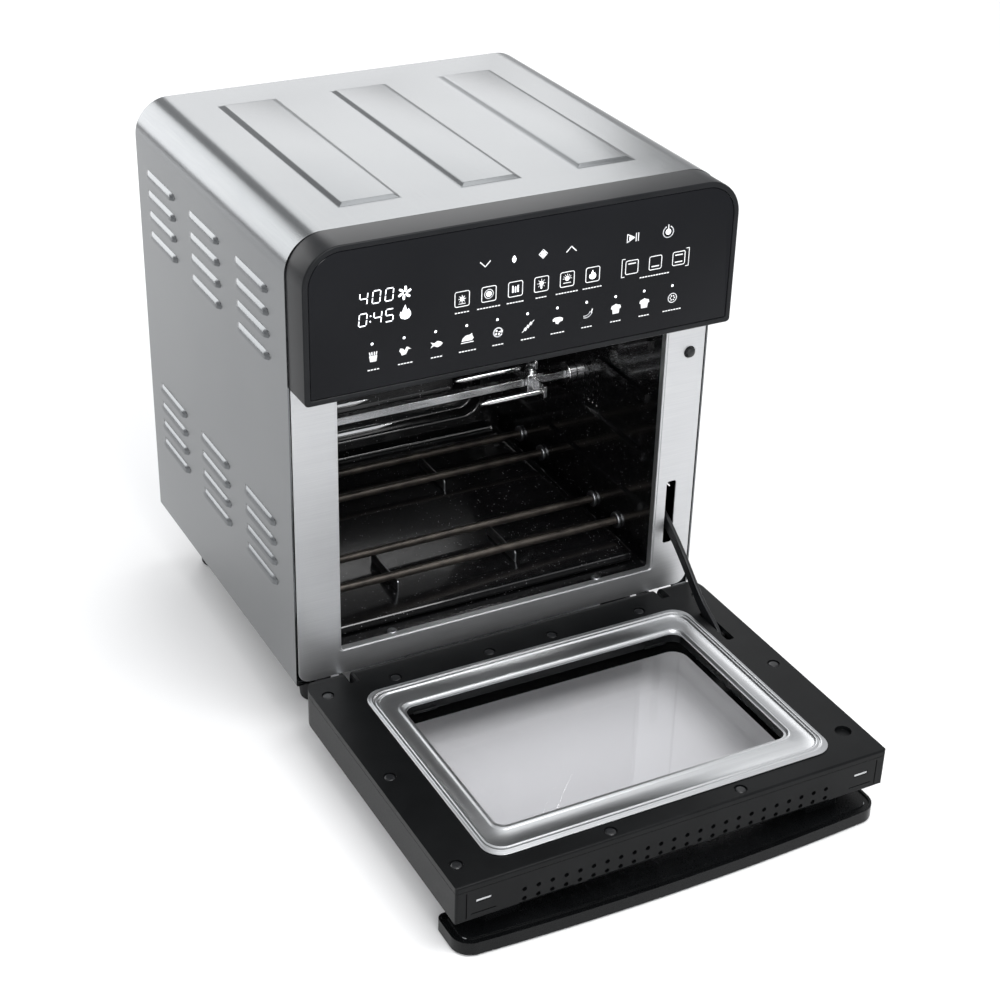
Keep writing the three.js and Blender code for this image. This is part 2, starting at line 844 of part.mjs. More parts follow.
function powerBoard() {
  const left = -150;
  const thickness = 1.6;
  const foot = left + 1;
  const relay = block(foot, -132, 84, 104, 266, 290);
  const transformer = block(foot, -128, 120, 146, 264, 300);
  const capacitor = block(foot, -136, 160, 182, 270, 286);
  return joined(block(left, left + thickness, 70, 190, 256, 320), relay, transformer, capacitor);
}
add(cabinet, 'power_board', powerBoard(), boardGreen);

function glandBody() {
  const y = cabinetDepth;
  const bore = 4;
  const stem = 9;
  const flange = 12;
  const nose = 8.5;
  const inside = y - 16;
  return turned([
    [bore, inside],
    [stem, inside],
    [stem, y - 1.2],
    [flange, y - 1.2],
    [flange, y + 2.5],
    [nose, y + glandReach],
    [bore, y + glandReach],
    [bore, inside],
  ], 20);
}
// The turned body's axis is brought from +Z to +Y.
add(cabinet, 'power_inlet_gland', glandBody().rotateX(-Math.PI / 2).translate(glandX, 0, glandZ), blackRubber);

// Door switch: a plunger through the steel face into its switch body.
add(
  cabinet,
  'door_switch_plunger',
  joined(rod('y', switchX, switchZ, 4, -2.6, 2.6, 16), rod('y', switchX, switchZ, 2, 2, 9, 10)),
  satinPlastic,
);
add(
  cabinet,
  'door_switch_body',
  cut(
    block(switchX - 7, switchX + 7, 7.5, 24, switchZ - 12, switchZ + 12),
    rod('y', switchX, switchZ, 2.5, 7, 15, 10),
  ),
  satinPlastic,
);

// Hinge brackets, each an eye on the hinge line with a tongue fixed under the cabinet.
function hingeBracket() {
  const eye = 5.5;
  const tongueFront = 3.5;
  const tongueBack = 18;
  const tongue = new THREE.Shape();
  tongue.moveTo(hingeY, hingeZ - eye);
  tongue.lineTo(tongueBack, hingeZ - eye);
  tongue.lineTo(tongueBack, sheet);
  tongue.lineTo(tongueFront, sheet);
  tongue.lineTo(tongueFront, -gap);
  tongue.lineTo(hingeY, -gap);
  tongue.absarc(hingeY, hingeZ, eye, Math.PI / 2, 1.5 * Math.PI);
  const x = bracketThickness / 2;
  const pinBore = rod('x', hingeY, hingeZ, pinRadius + gap, -x - 1, x + 1, 14);
  return cut(slab(tongue, 'x', -x, x, 8), pinBore);
}
for (const [side, sign] of sides) {
  add(cabinet, `hinge_bracket_${side}`, hingeBracket().translate(sign * hingeX, 0, 0), galvanised);
}

// ---------------------------------------------------------------------- door
const door = new THREE.Group();
door.position.set(0, hingeY, hingeZ);
door.rotation.x = doorOpenAngle;
cabinet.add(door);

// The door's outer form: rounded along its hinge edge and at its two low corners.
function doorForm(inset) {
  const side = rectangle(
    doorOuter + inset,
    doorInner - inset,
    doorBottom + inset,
    doorTop - inset,
    [9 - inset, 9 - inset, 1.5, 1.5],
  );
  const face = rectangle(
    -doorHalf + inset,
    doorHalf - inset,
    doorBottom + inset,
    doorTop - inset,
    [18 - inset, 18 - inset, 2, 2],
  );
  return common(
    slab(side, 'x', -doorHalf + inset, doorHalf - inset, 5),
    slab(face, 'y', doorOuter + inset, doorInner - inset, 6),
  );
}

const coverBack = doorInner - coverThickness;
const outerGlassDepth = 3;
const glassSeat = { half: 157, bottom: -3, top: 231, lowRadius: 14, highRadius: 3 };
const viewHole = { half: 148, bottom: 6, top: 200, radius: 6 };
const handleScrewZ = 219;

// The outer glass fills its seat in the surround, less the gap all round.
function glassOutline(inset) {
  const low = glassSeat.lowRadius - inset;
  const high = glassSeat.highRadius - inset;
  return rectangle(
    -glassSeat.half + inset,
    glassSeat.half - inset,
    glassSeat.bottom + inset,
    glassSeat.top - inset,
    [low, low, high, high],
  );
}

// Room for the cabinet's hinge brackets as the door swings.
function hingeNotches() {
  return sides.map(([, sign]) => block(
    sign * hingeX - notchHalf,
    sign * hingeX + notchHalf,
    -7.5,
    doorInner + 1,
    doorBottom - 1,
    notchReach,
  ));
}

// Moulded surround with the hinge cheeks and a rim for the outer glass.
function doorOuterFrame() {
  const notch = notchHalf + 2;
  const cheeks = sides.map(([, sign]) => block(
    sign * hingeX - notch - 6,
    sign * hingeX + notch + 6,
    doorOuter + 3,
    coverBack - 0.5,
    doorBottom + 3,
    notchReach + 4,
  ));
  const body = cut(
    doorForm(0),
    block(-doorHalf - 1, doorHalf + 1, coverBack - gap, doorInner + 1, doorBottom - 1, doorTop + 1),
    block(-doorHalf + doorWall, doorHalf - doorWall, doorOuter + 6, coverBack, doorBottom + doorWall, doorTop - doorWall),
    slab(glassOutline(0), 'y', doorOuter - 1, doorOuter + outerGlassDepth + gap),
    slab(
      rectangle(-viewHole.half, viewHole.half, viewHole.bottom, viewHole.top, viewHole.radius),
      'y',
      doorOuter - 1,
      doorOuter + 7,
    ),
  );
  const pinBore = rod('x', 0, 0, pinRadius + gap, -hingeX - 13, hingeX + 13, 14);
  const screwHoles = sides.map(([, sign]) => (
    rod('y', sign * handlePostX, handleScrewZ, 2.6, doorOuter - 1, doorOuter + 8, 10)
  ));
  return cut(joined(body, ...cheeks), pinBore, ...hingeNotches(), ...screwHoles);
}
add(door, 'door_outer_frame', doorOuterFrame(), satinPlastic);

function doorOuterGlass() {
  const holes = sides.map(([, sign]) => circle(sign * handlePostX, handleScrewZ, 3, 12));
  return slab(pierced(glassOutline(gap), holes), 'y', doorOuter + 0.2, doorOuter + outerGlassDepth);
}
add(door, 'door_outer_glass', doorOuterGlass(), smokedGlass);

// Moulded cover on the oven side, with the stay arm's slot.
function doorInnerCover() {
  const frameHole = rectangle(-128, 128, 29, 219, 10);
  const staySlit = rectangle(stayX - 3.2, stayX + 3.2, 38, 78, 2);
  const plungerPocket = rod('y', switchX, switchZ - hingeZ, 6, doorInner - 3, doorInner + 1, 12);
  return cut(
    doorForm(0),
    block(-doorHalf - 1, doorHalf + 1, doorOuter - 1, coverBack, doorBottom - 1, doorTop + 1),
    slab(frameHole, 'y', coverBack - 1, doorInner + 1),
    slab(staySlit, 'y', coverBack - 1, doorInner + 1),
    plungerPocket,
    ...hingeNotches(),
  );
}
add(door, 'door_inner_cover', doorInnerCover(), satinPlastic);

// Pressed steel frame round the window, with a skirt down to the inner glass.
const windowRadius = 8;
const skirtBottom = 5;
const skirtWall = 1.2;
const frameProud = 1.5;
const innerPane = { half: 122, bottom: 42, top: 205, radius: 4, thickness: 4 };

function doorWindowFrame() {
  const face = pierced(
    rectangle(-133, 133, 24.5, 223.5, 14),
    [rectangle(-windowHalf, windowHalf, windowBottom, windowTop, windowRadius)],
  );
  const skirt = pierced(
    rectangle(
      -windowHalf - skirtWall,
      windowHalf + skirtWall,
      windowBottom - skirtWall,
      windowTop + skirtWall,
      windowRadius + skirtWall,
    ),
    [rectangle(-windowHalf, windowHalf, windowBottom, windowTop, windowRadius)],
  );
  return joined(
    slab(face, 'y', doorInner + gap, doorInner + frameProud),
    slab(skirt, 'y', skirtBottom, doorInner + frameProud),
  );
}
add(door, 'door_window_frame', doorWindowFrame(), brightSteel);

add(
  door,
  'door_inner_glass',
  slab(
    rectangle(-innerPane.half, innerPane.half, innerPane.bottom, innerPane.top, innerPane.radius),
    'y',
    skirtBottom - gap - innerPane.thickness,
    skirtBottom - gap,
  ),
  smokedGlass,
);

// Bar handle with a bowed outer edge, on two posts.
function doorHandle() {
  const corner = 14;
  const heel = 5;
  const postHalf = 14;
  const postReach = 7;
  const outline = new THREE.Shape();
  outline.moveTo(-handleHalf + heel, handleInner);
  outline.lineTo(handleHalf - heel, handleInner);
  outline.absarc(handleHalf - heel, handleInner + heel, heel, -Math.PI / 2, 0);
  outline.lineTo(handleHalf, handleEnd - corner);
  outline.absarc(handleHalf - corner, handleEnd - corner, corner, 0, Math.PI / 2);
  outline.quadraticCurveTo(0, handleEnd + 2 * handleBow, -handleHalf + corner, handleEnd);
  outline.absarc(-handleHalf + corner, handleEnd - corner, corner, Math.PI / 2, Math.PI);
  outline.lineTo(-handleHalf, handleInner + heel);
  outline.absarc(-handleHalf + heel, handleInner + heel, heel, Math.PI, 1.5 * Math.PI);
  const posts = sides.map(([, sign]) => slab(
    rectangle(
      sign * handlePostX - postHalf,
      sign * handlePostX + postHalf,
      handleScrewZ - postReach,
      handleScrewZ + postReach,
      4,
    ),
    'y',
    handleNear - 1,
    doorOuter - gap,
    3,
  ));
  const bores = sides.map(([, sign]) => rod('y', sign * handlePostX, handleScrewZ, 2.3, -27, doorOuter, 10));
  return cut(joined(slab(outline, 'y', handleFar, handleNear, 8), ...posts), ...bores);
}
add(door, 'door_handle', doorHandle(), satinPlastic);

for (const [side, sign] of sides) {
  const screw = joined(
    rod('y', 0, handleScrewZ, 2, -26, doorOuter + 7, 10),
    rod('y', 0, handleScrewZ, 4, doorOuter + 6.3, doorOuter + 8.5, 12),
  );
  add(door, `handle_screw_${side}`, screw.translate(sign * handlePostX, 0, 0), galvanised);
  const pin = rod('x', 0, 0, pinRadius, sign * hingeX - 11, sign * hingeX + 11, 14);
  add(door, `hinge_pin_${side}`, pin, galvanised);
}

add(
  door,
  'stay_pin',
  rod('x', stayPivotY, stayPivotZ, 2.5, stayX - 6, stayX + 6, 14),
  galvanised,
);

// ------------------------------------------------------------------ stay arm
// Its frame has its origin on the pivot and +Y along the arm, with the door open.
const stay = new THREE.Group();
stay.position.set(stayX, hingeY - stayPivotZ, hingeZ + stayPivotY);
stay.rotation.x = stayAngle;
cabinet.add(stay);

function stayArm() {
  const half = 4.4;
  const eye = 5.6;
  const outline = new THREE.Shape();
  outline.moveTo(0, -eye);
  outline.bezierCurveTo(14, -eye, 20, -half - 3, 36, -half - 2);
  outline.bezierCurveTo(56, -half - 1, 66, -half + 2, stayLength, -half);
  outline.lineTo(stayLength + 6, -half - 3);
  outline.lineTo(stayLength + 9, half - 2);
  outline.lineTo(stayLength, half);
  outline.bezierCurveTo(66, half + 2, 56, half - 1, 36, half - 2);
  outline.bezierCurveTo(20, half - 3, 14, eye, 0, eye);
  outline.absarc(0, 0, eye, Math.PI / 2, 1.5 * Math.PI);
  const x = stayThickness / 2;
  return cut(slab(outline, 'x', -x, x, 8), rod('x', 0, 0, 2.5 + gap, -x - 1, x + 1, 14));
}
add(stay, 'stay_arm', stayArm(), blackEnamel);

export default appliance;
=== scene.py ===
import math
import random

import bpy
import bmesh
from mathutils import Matrix, Vector


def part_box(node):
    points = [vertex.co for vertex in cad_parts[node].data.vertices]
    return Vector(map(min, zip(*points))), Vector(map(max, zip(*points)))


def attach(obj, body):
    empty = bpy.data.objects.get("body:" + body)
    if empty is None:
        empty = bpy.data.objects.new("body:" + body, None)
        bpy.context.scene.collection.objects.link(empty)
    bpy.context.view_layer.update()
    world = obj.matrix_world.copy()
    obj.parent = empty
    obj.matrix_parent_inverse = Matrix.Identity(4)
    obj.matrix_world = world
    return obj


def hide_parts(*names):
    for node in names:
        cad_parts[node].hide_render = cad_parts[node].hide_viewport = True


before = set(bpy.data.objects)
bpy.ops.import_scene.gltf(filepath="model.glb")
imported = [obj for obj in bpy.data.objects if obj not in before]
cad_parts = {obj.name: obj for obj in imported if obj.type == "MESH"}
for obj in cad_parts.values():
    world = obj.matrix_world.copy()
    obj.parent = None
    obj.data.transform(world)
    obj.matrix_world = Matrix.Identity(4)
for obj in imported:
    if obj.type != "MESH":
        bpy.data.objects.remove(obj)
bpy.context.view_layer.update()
random.seed(7)

# Two working frames in millimetres: the cabinet's (x right, y back from the steel
# front, z up from the cabinet's underside) and the door's (z up the closed door,
# y towards the oven), whose origin is the hinge line.
cabinetOrigin = Vector((0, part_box("front_frame")[0].y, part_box("outer_shell")[0].z))
pinLow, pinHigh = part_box("hinge_pin_left")
hingeLine = Vector((0, (pinLow.y + pinHigh.y) / 2, (pinLow.z + pinHigh.z) / 2))
millimetre = Matrix.Scale(0.001, 4)
cabinetPlace = Matrix.Translation(cabinetOrigin) @ millimetre
doorTurn = Matrix(((1, 0, 0), (0, 0, -1), (0, 1, 0))).to_4x4()
doorPlace = Matrix.Translation(hingeLine) @ doorTurn @ millimetre
toY = Matrix(((1, 0, 0), (0, 0, -1), (0, 1, 0))).to_4x4()  # local +z faces the front
toX = Matrix(((0, 0, 1), (1, 0, 0), (0, 1, 0))).to_4x4()  # local +z faces the right
toBack = Matrix(((-1, 0, 0), (0, 0, 1), (0, 1, 0))).to_4x4()  # local +z faces the back, x mirrored


# An sRGB hex colour as the linear values that a shader takes.
def linear(hexColour):
    values = [int(hexColour[i:i + 2], 16) / 255 for i in (1, 3, 5)]
    return [v / 12.92 if v <= 0.04045 else ((v + 0.055) / 1.055) ** 2.4 for v in values] + [1]


def addNode(material, kind, settings=None, links=None):
    tree = material.node_tree
    node = tree.nodes.new(kind)
    for key, value in (settings or {}).items():
        if isinstance(key, str) and hasattr(node, key):
            setattr(node, key, value)
        else:
            node.inputs[key].default_value = value
    for key, socket in (links or {}).items():
        tree.links.new(socket, node.inputs[key])
    return node


def newMaterial(name, settings):
    material = bpy.data.materials.new(name)
    material.use_nodes = True
    shader = material.node_tree.nodes["Principled BSDF"]
    for key, value in settings.items():
        shader.inputs[key].default_value = value
    return material, shader


# Noise with one feature every so many millimetres along x, y and z.
def grain(material, spacing, detail=4, roughness=0.6):
    place = addNode(material, "ShaderNodeTexCoord")
    perMetre = [1000 / step for step in spacing]
    mapping = addNode(material, "ShaderNodeMapping", {"Scale": perMetre}, {"Vector": place.outputs["Object"]})
    noise = addNode(
        material,
        "ShaderNodeTexNoise",
        {"Scale": 1, "Detail": detail, "Roughness": roughness},
        {"Vector": mapping.outputs["Vector"]},
    )
    return noise.outputs["Fac"]


def ranged(material, value, low, high, fromLow=0.3, fromHigh=0.7):
    node = addNode(
        material,
        "ShaderNodeMapRange",
        {"From Min": fromLow, "From Max": fromHigh, "To Min": low, "To Max": high},
        {"Value": value},
    )
    return node.outputs["Result"]


def shaded(material, value, dark, light, fromLow=0.3, fromHigh=0.7):
    share = ranged(material, value, 0, 1, fromLow, fromHigh)
    ramp = addNode(material, "ShaderNodeValToRGB", {}, {"Fac": share})
    ramp.color_ramp.elements[0].color = linear(dark)
    ramp.color_ramp.elements[1].color = linear(light)
    return ramp.outputs["Color"]


def finishMaterial(material, shader, colour=None, roughness=None, bump=None, strength=0.2, distance=0.0002):
    tree = material.node_tree
    if colour:
        tree.links.new(colour, shader.inputs["Base Color"])
    if roughness:
        tree.links.new(roughness, shader.inputs["Roughness"])
    if bump:
        node = addNode(
            material, "ShaderNodeBump", {"Strength": strength, "Distance": distance}, {"Height": bump}
        )
        tree.links.new(node.outputs["Normal"], shader.inputs["Normal"])
    return material


# Brushed 430 stainless sheet, belt grained one way: streaks 30 to 60 mm long, drawn
# 0.4 to 0.6 mm apart (the real 0.05 mm lines are too fine to show). A satin sheen, with
# clouds 110 mm across where the belt pressed harder.
def brushedSheet(name, dark, light, low, high, spacing, strength):
    material, shader = newMaterial(name, {"Metallic": 1.0})
    lines = grain(material, spacing, 3, 0.65)
    cloud = grain(material, (111, 111, 111), 2, 0.5)
    lineShare = 0.72
    mix = addNode(
        material,
        "ShaderNodeMath",
        {"operation": "ADD"},
        {0: ranged(material, lines, 0, lineShare), 1: ranged(material, cloud, 0, 1 - lineShare)},
    )
    colour = shaded(material, mix.outputs["Value"], dark, light, 0.1, 0.9)
    rough = ranged(material, lines, low, high)
    return finishMaterial(material, shader, colour, rough, lines, strength, 0.0001)


# The shell's stainless has a far darker base colour than the front plate's: painted shade, standing in for
# the shade on the cabinet's sides. The roof takes the same dark base.
shadeDarkenedShellSteel = brushedSheet(
    "brushedStainlessShellPaintedShade", "#646668", "#6f7172", 0.20, 0.26, (0.5556, 45.45, 0.5556), 0.03
)
steelFront = brushedSheet(
    "brushedStainlessFront", "#c8c9cb", "#d4d5d6", 0.42, 0.48, (55.56, 0.5556, 0.5556), 0.04
)
steelTrim = brushedSheet(
    "pressedStainlessTrim", "#b6b8ba", "#c2c3c4", 0.33, 0.38, (33.33, 0.4167, 0.4167), 0.006
)
# Stamped mild steel keeps short 17 mm rolling marks, and galvanised sheet has 7 mm spangles.
steelArm = brushedSheet("stampedSteel", "#8d8f92", "#b2b4b6", 0.28, 0.42, (1.111, 16.67, 1.111), 0.10)
steelBack = brushedSheet("galvanisedSheet", "#86898b", "#a6a9ab", 0.42, 0.56, (7.143, 7.143, 7.143), 0.05)


# Bright drawn bar and chromed wire: nearly a mirror, with faint drawing lines 17 mm long
# along x, shown 0.7 mm apart (the real ones are finer).
def chromeMaterial():
    material, shader = newMaterial("brightDrawnSteel", {"Metallic": 1.0})
    lines = grain(material, (16.67, 0.7143, 0.7143), 3, 0.6)
    colour = shaded(material, lines, "#c3c4c6", "#e6e6e6")
    return finishMaterial(material, shader, colour, ranged(material, lines, 0.12, 0.22), lines, 0.05, 0.0001)


chrome = chromeMaterial()


# Satin moulded plastic: a fine spark-eroded grain 0.5 mm across that breaks up the sheen,
# and a slow drift of tone 25 mm wide.
def mouldedPlastic(name, dark, light, low, high, bump, sheen=0.4):
    material, shader = newMaterial(name, {"IOR": 1.5, "Specular IOR Level": sheen})
    fine = grain(material, (0.5, 0.5, 0.5), 2, 0.5)
    wide = grain(material, (25, 25, 25), 3, 0.5)
    colour = shaded(material, wide, dark, light)
    return finishMaterial(material, shader, colour, ranged(material, fine, low, high), fine, bump, 0.00008)


bezelPlastic = mouldedPlastic("satinAbsBezel", "#151618", "#1b1c1e", 0.28, 0.36, 0.04, 0.15)
doorPlastic = mouldedPlastic("mouldedPbtDoor", "#0a0b0c", "#101112", 0.32, 0.42, 0.08, 0.12)
handlePlastic = mouldedPlastic("mouldedPbtHandle", "#08090a", "#0e0f10", 0.24, 0.32, 0.05, 0.17)
rubber = mouldedPlastic("mouldedRubber", "#161618", "#1f1f21", 0.62, 0.78, 0.15)
armPlastic = mouldedPlastic("blackCoatedSteel", "#131416", "#1b1c1e", 0.28, 0.38, 0.08)


# Glazed enamel on pressed steel: glossy black with pale specks about 0.7 mm across, one
# for each cell of 2.4 mm, in loose groups 8 mm apart.
def enamelMaterial():
    material, shader = newMaterial(
        "glazedBlackEnamel", {"IOR": 1.5, "Coat Weight": 0.6, "Coat Roughness": 0.06}
    )
    place = addNode(material, "ShaderNodeTexCoord")
    cellSize = 2.381
    cells = addNode(
        material,
        "ShaderNodeTexVoronoi",
        {"Scale": 1000 / cellSize, "Randomness": 1},
        {"Vector": place.outputs["Object"]},
    )
    speck = ranged(material, cells.outputs["Distance"], 1, 0, 0.10, 0.16)
    thin = grain(material, (7.692, 7.692, 7.692), 2, 0.5)
    chosen = addNode(
        material,
        "ShaderNodeMath",
        {"operation": "MULTIPLY"},
        {0: speck, 1: ranged(material, thin, 0, 1, 0.50, 0.60)},
    )
    ramp = addNode(material, "ShaderNodeValToRGB", {}, {"Fac": chosen.outputs["Value"]})
    ramp.color_ramp.elements[0].color = linear("#0b0b0c")
    ramp.color_ramp.elements[1].color = linear("#8c8c90")
    rough = ranged(material, thin, 0.14, 0.26)
    return finishMaterial(material, shader, ramp.outputs["Color"], rough, thin, 0.10, 0.0003)


enamel = enamelMaterial()


# Black-backed float glass: a deep gloss with the faintest waviness, 70 mm from crest to crest.
def glassPanelMaterial():
    material, shader = newMaterial("blackBackedGlass", {"IOR": 1.45, "Specular IOR Level": 0.12})
    wave = grain(material, (71.43, 71.43, 71.43), 1, 0.4)
    colour = shaded(material, wave, "#0f1013", "#131417")
    return finishMaterial(material, shader, colour, ranged(material, wave, 0.06, 0.10), wave, 0.02, 0.0002)


panelGlass = glassPanelMaterial()
frit = mouldedPlastic("firedBlackBorder", "#0e0f10", "#131415", 0.20, 0.28, 0.02)


# Clear soda-lime pane: light passes through with a slight tint, the face towards the light
# mirrors faintly, and wiped smears 40 mm long dull it here and there.
def paneMaterial(name, tint, dust):
    material = bpy.data.materials.new(name)
    material.use_nodes = True
    tree = material.node_tree
    tree.nodes.remove(tree.nodes["Principled BSDF"])
    clean = 0.01  # roughness of the wiped glass
    clear = addNode(material, "ShaderNodeBsdfTransparent", {"Color": linear(tint)})
    smear = grain(material, (40, 40, 40), 3, 0.6)
    gloss = addNode(
        material,
        "ShaderNodeBsdfGlossy",
        {"Color": linear("#ffffff")},
        {"Roughness": ranged(material, smear, clean, clean + dust)},
    )
    fresnel = addNode(material, "ShaderNodeFresnel", {"IOR": 1.32})
    side = addNode(material, "ShaderNodeNewGeometry")
    front = addNode(
        material, "ShaderNodeMath", {"operation": "SUBTRACT", 0: 1.0}, {1: side.outputs["Backfacing"]}
    )
    share = addNode(
        material,
        "ShaderNodeMath",
        {"operation": "MULTIPLY"},
        {0: fresnel.outputs["Fac"], 1: front.outputs["Value"]},
    )
    mix = addNode(
        material,
        "ShaderNodeMixShader",
        {},
        {"Fac": share.outputs["Value"], 1: clear.outputs["BSDF"], 2: gloss.outputs["BSDF"]},
    )
    tree.links.new(mix.outputs["Shader"], tree.nodes["Material Output"].inputs["Surface"])
    return material


clearPane = paneMaterial("clearFloatGlass", "#fcfcfc", 0.03)
tintedPane = paneMaterial("tintedFloatGlass", "#fafafb", 0.02)
lensGlass = paneMaterial("pressedLensGlass", "#e9e6dc", 0.10)


# White ceramic ink, lit from behind where the keys glow, with a mottle 3 mm across. The printed marks glow
# faintly too: a painted glow, with nothing behind them to light them.
def inkMaterial(name, glow, colour):
    material, shader = newMaterial(
        name, {"Roughness": 0.4, "Emission Color": linear(colour), "Emission Strength": glow}
    )
    wide = grain(material, (3.333, 3.333, 3.333), 2, 0.5)
    return finishMaterial(material, shader, shaded(material, wide, "#cfd0d2", "#f4f4f4"))


# Printed ink with a faint glow of 0.25: painted light, as these marks are not backlit.
faintGlowInk = inkMaterial("whiteCeramicInkPaintedGlow", 0.25, "#e8eaee")
inkLit = inkMaterial("litDisplay", 1.5, "#f4f7ff")


# Heater sheath: drawn alloy tube gone dull brown-grey from heat, in blotches 14 mm long.
def sheathMaterial():
    material, shader = newMaterial("heatTintedSheath", {"Metallic": 0.9})
    blotch = grain(material, (14.29, 14.29, 14.29), 4, 0.6)
    colour = shaded(material, blotch, "#302d2b", "#544f4a")
    rough = ranged(material, blotch, 0.32, 0.52)
    return finishMaterial(material, shader, colour, rough, blotch, 0.15, 0.0003)


sheath = sheathMaterial()
board = mouldedPlastic("solderMaskedBoard", "#123d26", "#1c5a38", 0.30, 0.42, 0.05)
ceramic = mouldedPlastic("steatiteCeramic", "#cfc8b8", "#ded8ca", 0.35, 0.5, 0.05)

print("materials ready")


# A flat outline with rounded corners, as one face. The radii go round from the low corner.
def outlineFace(bm, low, high, radii, segments=6):
    corners = [(low[0], low[1]), (high[0], low[1]), (high[0], high[1]), (low[0], high[1])]
    verts = [bm.verts.new((x, y, 0)) for x, y in corners]
    bm.faces.new(verts)
    for vert, radius in zip(verts, radii if isinstance(radii, (tuple, list)) else [radii] * 4):
        if radius:
            bmesh.ops.bevel(
                bm,
                geom=[vert],
                offset=radius,
                offset_type="OFFSET",
                affect="VERTICES",
                segments=segments,
                profile=0.5,
                material=-1,
            )
    return bm.faces[:][-1]


def roundedSlab(low, high, radii, bottom, top, segments=6):
    bm = bmesh.new()
    face = outlineFace(bm, low, high, radii, segments)
    bmesh.ops.translate(bm, verts=bm.verts, vec=(0, 0, bottom))
    made = bmesh.ops.extrude_face_region(bm, geom=[face])["geom"]
    raised = [g for g in made if isinstance(g, bmesh.types.BMVert)]
    bmesh.ops.translate(bm, verts=raised, vec=(0, 0, top - bottom))
    bmesh.ops.recalc_face_normals(bm, faces=bm.faces)
    return bm


def ringSlab(outer, inner, bottom, top, segments=6):
    rings = [(*outer, bottom), (*outer, top), (*inner, top), (*inner, bottom)]
    return loftRings(rings, segments)


def addPart(bm, part, matrix=None):
    if matrix is not None:
        bmesh.ops.transform(part, matrix=matrix, verts=part.verts)
        if matrix.determinant() < 0:
            bmesh.ops.reverse_faces(part, faces=part.faces)
    mesh = bpy.data.meshes.new("part")
    part.to_mesh(mesh)
    part.free()
    bm.from_mesh(mesh)
    bpy.data.meshes.remove(mesh)


def blockPart(low, high, bevel=0, segments=2):
    bm = bmesh.new()
    centre = [(a + b) / 2 for a, b in zip(low, high)]
    size = [b - a for a, b in zip(low, high)]
    bmesh.ops.create_cube(bm, size=1, matrix=Matrix.Translation(centre) @ Matrix.Diagonal((*size, 1)))
    if bevel:
        bmesh.ops.bevel(
            bm,
            geom=bm.edges[:],
            offset=bevel,
            affect="EDGES",
            segments=segments,
            profile=0.5,
            material=-1,
        )
    return bm


# A profile of (radius, height) points turned round z.
def turnedPart(profile, steps=32):
    bm = bmesh.new()
    verts = [bm.verts.new((r, 0, z)) for r, z in profile]
    edges = [bm.edges.new(pair) for pair in zip(verts, verts[1:])]
    bmesh.ops.spin(
        bm, geom=verts + edges, cent=(0, 0, 0), axis=(0, 0, 1), angle=math.tau, steps=steps, use_merge=True
    )
    bmesh.ops.remove_doubles(bm, verts=bm.verts, dist=0.002)
    bmesh.ops.recalc_face_normals(bm, faces=bm.faces)
    return bm


# A round tube along a smooth route.
def tubePart(points, radius, steps):
    curve = bpy.data.curves.new("route", "CURVE")
    curve.dimensions = "3D"
    curve.bevel_depth = radius
    curve.bevel_resolution = 4
    curve.use_fill_caps = True
    spline = curve.splines.new("NURBS")
    spline.points.add(len(points) - 1)
    for point, place in zip(spline.points, points):
        point.co = (*place, 1)
    spline.order_u = 4
    spline.use_endpoint_u = True
    spline.resolution_u = steps
    holder = bpy.data.objects.new("route", curve)
    mesh = bpy.data.meshes.new_from_object(holder)
    bm = bmesh.new()
    bm.from_mesh(mesh)
    bmesh.ops.remove_doubles(bm, verts=bm.verts, dist=radius * 0.01)
    bmesh.ops.recalc_face_normals(bm, faces=bm.faces)
    bpy.data.objects.remove(holder)
    bpy.data.curves.remove(curve)
    bpy.data.meshes.remove(mesh)
    return bm


# Cuts the chosen faces along planes across one axis.
def sliceFaces(bm, chosen, axis, values):
    for value in values:
        faces = [f for f in bm.faces if chosen(f)]
        geom = faces + list({e for f in faces for e in f.edges}) + list({v for f in faces for v in f.verts})
        middle = Vector((0, 0, 0))
        middle[axis] = value
        normal = Vector((0, 0, 0))
        normal[axis] = 1
        bmesh.ops.bisect_plane(bm, geom=geom, dist=0.0001, plane_co=middle, plane_no=normal)


# Puts a shape in its place in metres, as a piece that rides on a body and stands for CAD nodes.
def finishPiece(name, bm, material, body, nodes, place=cabinetPlace, bevel=0, angle=34,
                segments=2):
    bmesh.ops.transform(bm, matrix=place, verts=bm.verts)
    mesh = bpy.data.meshes.new(name)
    bm.to_mesh(mesh)
    bm.free()
    mesh.shade_smooth()
    mesh.set_sharp_from_angle(angle=math.radians(angle))
    piece = bpy.data.objects.new(name, mesh)
    bpy.context.scene.collection.objects.link(piece)
    mesh.materials.append(material)
    if bevel:
        edge = piece.modifiers.new("softEdges", "BEVEL")
        edge.width = bevel / 1000
        edge.segments = segments
        edge.limit_method = "ANGLE"
        edge.angle_limit = math.radians(angle)
        even = piece.modifiers.new("flatFaces", "WEIGHTED_NORMAL")
        even.keep_sharp = True
    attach(piece, body)
    if nodes:
        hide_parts(*nodes)
    return piece


